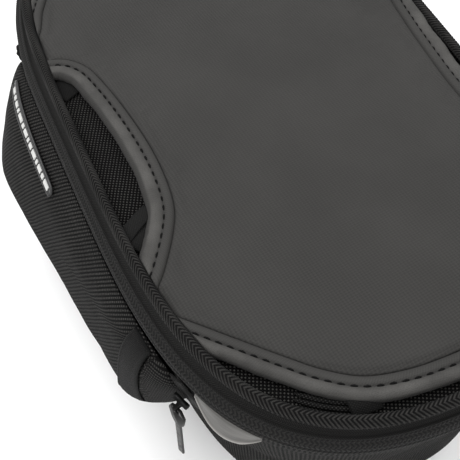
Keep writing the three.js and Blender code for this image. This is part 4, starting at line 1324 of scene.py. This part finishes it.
def add_reflector(mats, name, side_sign):
    """A crescent of film that stands off the wall towards its lower edge, with a thin raised rim that carries
    a painted highlight.
    """
    part = np.linspace(0, 1, 90)
    angle = TURN - 0.54 - 0.3 * part
    wide = 1.5 + 11 * np.sin(math.pi * part) ** 0.8
    across = np.array([0, 0.03, 0.07, 0.12, 0.18, 0.3, 0.45, 0.6, 0.75, 0.9, 1.0])
    proud = np.array([1.0, 1.5, 1.6, 1.3, 0.9, 0.9, 0.9, 0.9, 0.9, 0.9, 0.8])
    shares = np.concatenate([across, [0.9, 0.5, 0.15]])
    lifts = np.concatenate([proud, [0.1, 0.1, 0.1]])
    z = REFLECTOR_TOP - wide[:, None] * (1 - shares[None]) * 0.8
    swell = REFLECTOR_SWELL * np.sin(math.pi * part)[:, None] * (1 - shares[None]) ** 0.8
    side, end = wall_at(z)
    xy = outline(angle[:, None], side + lifts + swell, end + lifts + swell)
    xy[..., 0] *= side_sign
    points = np.concatenate([xy, z[..., None]], -1)
    piece = grid_piece(f"{name}_reflector_film", points, mats["reflector"], wrap_v=True, caps=True)
    finished(piece, "bag", "reflector", f"{name}_corner_reflector")


# ---- lid side ----
LID_EDGE, LID_EDGE_END = -18, -22
RIM_RADIUS = 2.6


def lid_ring(name, profile, count, material):
    """A ring on the lid side: profile is (distance in, height)."""
    section = [(LID_EDGE - inset, LID_EDGE_END - inset, z) for inset, z in profile]
    return ring_piece(name, section, count, material)


def add_lid_side(mats):
    section = round_section(LID_EDGE - 3, LID_EDGE_END - 3, RIM_RADIUS, RIM_RADIUS, PIPING_SIDES)
    rim = ring_piece("braided_rim_piping", section, 1500, mats["piping"], braided)
    finished(rim, "bag", "piping", "lid_rim_piping")
    profile = [(2.3, 8.9), (5, 8.5), (9, 8.6), (11.9, 8.9), (11.9, 10.1), (2.3, 10.1)]
    border = lid_ring("lid_border_cloth", profile, 260, mats["ballistic"])
    finished(border, "bag", "ballistic", "lid_border")
    profile = [
        (12.5, 8.6), (13.4, 8.4), (14.0, 8.1), (14.9, 8.1), (15.6, 8.4), (16.5, 8.6),
        (16.5, 10.5), (12.5, 10.5),
    ]
    chain = lid_ring("lid_zip_teeth", profile, 900, mats["chain"])
    finished(chain, "bag", "zip_tape", "lid_zip_chain")

    def crowned(flat):
        return 0.15 * ripples(flat, 40, 71)

    side, end = LID_EDGE - 17, LID_EDGE_END - 17
    panel = plate_piece("lid_woven_panel", side, end, 8.8, 10.3, mats["ballistic"], 200, 36)
    finished(panel, "lid", "ballistic", "lid_panel")
    foam = plate_piece("lid_foam_core", side - 3, end - 3, 10.8, 15.6, mats["foam"], 160, 12, edge=2.0)
    finished(foam, "lid", "foam", "lid_foam", padded=0.9)
    lining = plate_piece("lid_lining_cloth", side - 2, end - 2, 16.2, 16.9, mats["lining"], 160, 30, crowned)
    finished(lining, "lid", "lining", "lid_lining")
    add_map_window(mats)


def rounded_rectangle(half_x, half_y, radius, steps=10):
    points = []
    for k, (sx, sy) in enumerate([(1, 1), (-1, 1), (-1, -1), (1, -1)]):
        for i in range(steps + 1):
            a = math.pi / 2 * (k + i / steps)
            points.append((sx * (half_x - radius) + radius * math.cos(a),
                           sy * (half_y - radius) + radius * math.sin(a)))
    return np.array(points)


def add_map_window(mats):
    rows = [
        (0, 7.0), (0.3, 6.0), (1.2, 5.7), (3, 5.6), (4.4, 5.8), (6, 5.6), (8, 5.7), (8.8, 6.0),
        (9, 7.0), (4.5, 7.2),
    ]
    rings = []
    for inset, z in rows:
        edge = rounded_rectangle(58 - inset, 112 - inset, max(18 - inset * 0.67, 12))
        rings.append(np.column_stack([edge, np.full(len(edge), z)]))
    frame_piece = grid_piece("map_window_edge", np.stack(rings, 1), mats["binding"], wrap_u=True, wrap_v=True)
    finished(frame_piece, "lid", "binding", "map_window_binding")
    edge = rounded_rectangle(55, 109, 15)
    top = np.column_stack([edge, np.full(len(edge), 8.35)])
    low = np.column_stack([edge, np.full(len(edge), 7.55)])
    count = len(edge)
    faces = [list(range(count)), [count + i for i in reversed(range(count))]]
    faces += [[i, (i + 1) % count, count + (i + 1) % count, count + i] for i in range(count)]
    sheet = new_piece("map_window_sheet", np.concatenate([top, low]), faces, mats["window"], smooth=False)
    finished(sheet, "lid", "clear_window", "map_window")


# ---- carry handle ----
def add_handle(mats):
    """A webbing strap with a padded sleeve, on the far end."""
    side, end = wall_at(104)
    taper = 1 + TAPER
    lean = -0.24

    def far_wall(x):
        inside = 1 - (np.abs(x) / ((HALF_WIDTH + side) * taper)) ** SIDE_POWER
        return (HALF_LENGTH + end) * inside ** (1 / END_POWER)

    middle = float(far_wall(0))
    half = [(0, 22), (28, 22 * 0.72)]
    half += [(x, float(far_wall(x)) - middle + proud) for x, proud in ((46, 3), (62, 2))]
    curve = smooth_line(mirrored(half) + half[1:], 1.0)
    out = -normals_of(curve)

    def banded(name, rows, width, keep, material, slot, node, padded=None):
        """rows is a closed section of (offset from the curve, share of the half width)."""
        line, away = curve[keep], out[keep]
        points = []
        for offset, share in rows:
            flat = line + away * offset
            across = np.full(len(line), share * width)
            y = flat[:, 1] * math.cos(lean) - across * math.sin(lean)
            z = flat[:, 1] * math.sin(lean) + across * math.cos(lean)
            points.append(np.column_stack([flat[:, 0], middle + y, 104 + z]))
        piece = grid_piece(name, np.stack(points, 1), material, wrap_v=True, caps=True)
        finished(piece, "bag", slot, node, padded=padded)

    x = curve[:, 0]
    strap = [
        (4.1, -0.96), (4.5, -1), (6.0, -1), (6.3, -0.95), (6.3, 0),
        (6.3, 0.95), (6.0, 1), (4.5, 1), (4.1, 0.96), (4.1, 0),
    ]
    banded("carry_handle_strap", strap, 12, np.abs(x) < 61.8, mats["strap"], "strap", "carry_handle")
    sleeve = [
        (6.9, -0.86), (8.0, -0.9), (8.9, -0.6), (9.1, 0), (8.9, 0.6), (8.0, 0.9),
        (7.6, 0.99), (6.0, 1.06), (4.4, 1.06), (2.9, 0.99), (2.2, 0.85), (1.7, 0),
        (2.2, -0.85), (2.9, -0.99), (4.4, -1.06), (6.0, -1.06), (7.6, -0.99),
    ]
    banded("handle_sleeve_pad", sleeve, 14.2, np.abs(x) < 31.5, mats["grip_small"], "grip",
           "handle_sleeve", 0.7)
    patch = [(6.9, -0.98), (7.4, -1), (8.4, -1), (8.7, -0.95), (8.7, 0.95), (8.4, 1), (7.4, 1), (6.9, 0.98)]
    for name, sign in (("handle_patch_left", -1), ("handle_patch_right", 1)):
        keep = (x * sign > 46) & (x * sign < 61.8)
        banded(f"{name}_cloth", patch, 15, keep, mats["plain"], "strap", name)


# ---- zip sliders and pulls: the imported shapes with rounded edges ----
def softened(node, material, width):
    """A copy of a CAD node with rounded edges. The node's body has the same name."""
    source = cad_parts[node]
    mesh = source.data.copy()
    mesh.name = f"{node}_metal"
    piece = bpy.data.objects.new(f"{node}_metal", mesh)
    bpy.context.scene.collection.objects.link(piece)
    bm = bmesh.new()
    bm.from_mesh(mesh)
    bmesh.ops.remove_doubles(bm, verts=bm.verts, dist=1e-6)
    bmesh.ops.dissolve_limit(bm, angle_limit=0.05, verts=bm.verts, edges=bm.edges)
    bmesh.ops.recalc_face_normals(bm, faces=bm.faces)
    sharp = [e for e in bm.edges if e.is_manifold and e.calc_face_angle(0) > 0.3]
    bmesh.ops.bevel(bm, geom=sharp, offset=width * MM, segments=3, affect="EDGES", clamp_overlap=True)
    for face in bm.faces:
        face.smooth = True
    bm.to_mesh(mesh)
    bm.free()
    while mesh.uv_layers:
        mesh.uv_layers.remove(mesh.uv_layers[0])
    mesh.materials.clear()
    mesh.materials.append(material)
    finished(piece, node, "slider", node)


def add_sliders(mats):
    for name in ("left_pocket", "right_pocket", "base_zip", "lid_zip"):
        softened(f"{name}_slider", mats["slider"], 0.35)
        softened(f"{name}_pull", mats["slider"], 0.3)


# ---- build ----
def main():
    add_camera()
    add_studio()
    mats = make_materials()
    lines = seam_lines()
    add_piping(mats)
    add_side_tape(mats)
    add_chain(mats)
    add_base_hinge(mats)
    add_base_cover(mats)
    add_pad(mats, lines)
    for name, line in lines.items():
        add_binding(mats, name, line, NEAR_ROLL if name == "near" else 1.0)
        add_pad_stitches(mats, name, line)
    add_anchors(mats)
    add_folded_hem(mats)
    add_wall(mats)
    add_inside(mats)
    for name, side_sign in (("left_pocket", -1), ("right_pocket", 1)):
        add_pocket_cover(mats, name, side_sign)
        add_pocket_zip(mats, name, side_sign)
        add_pocket_strap(mats, name, side_sign)
        add_label(mats, name, side_sign)
    add_reflector(mats, "left", -1)
    add_reflector(mats, "right", 1)
    add_lid_side(mats)
    add_handle(mats)
    add_sliders(mats)


main()
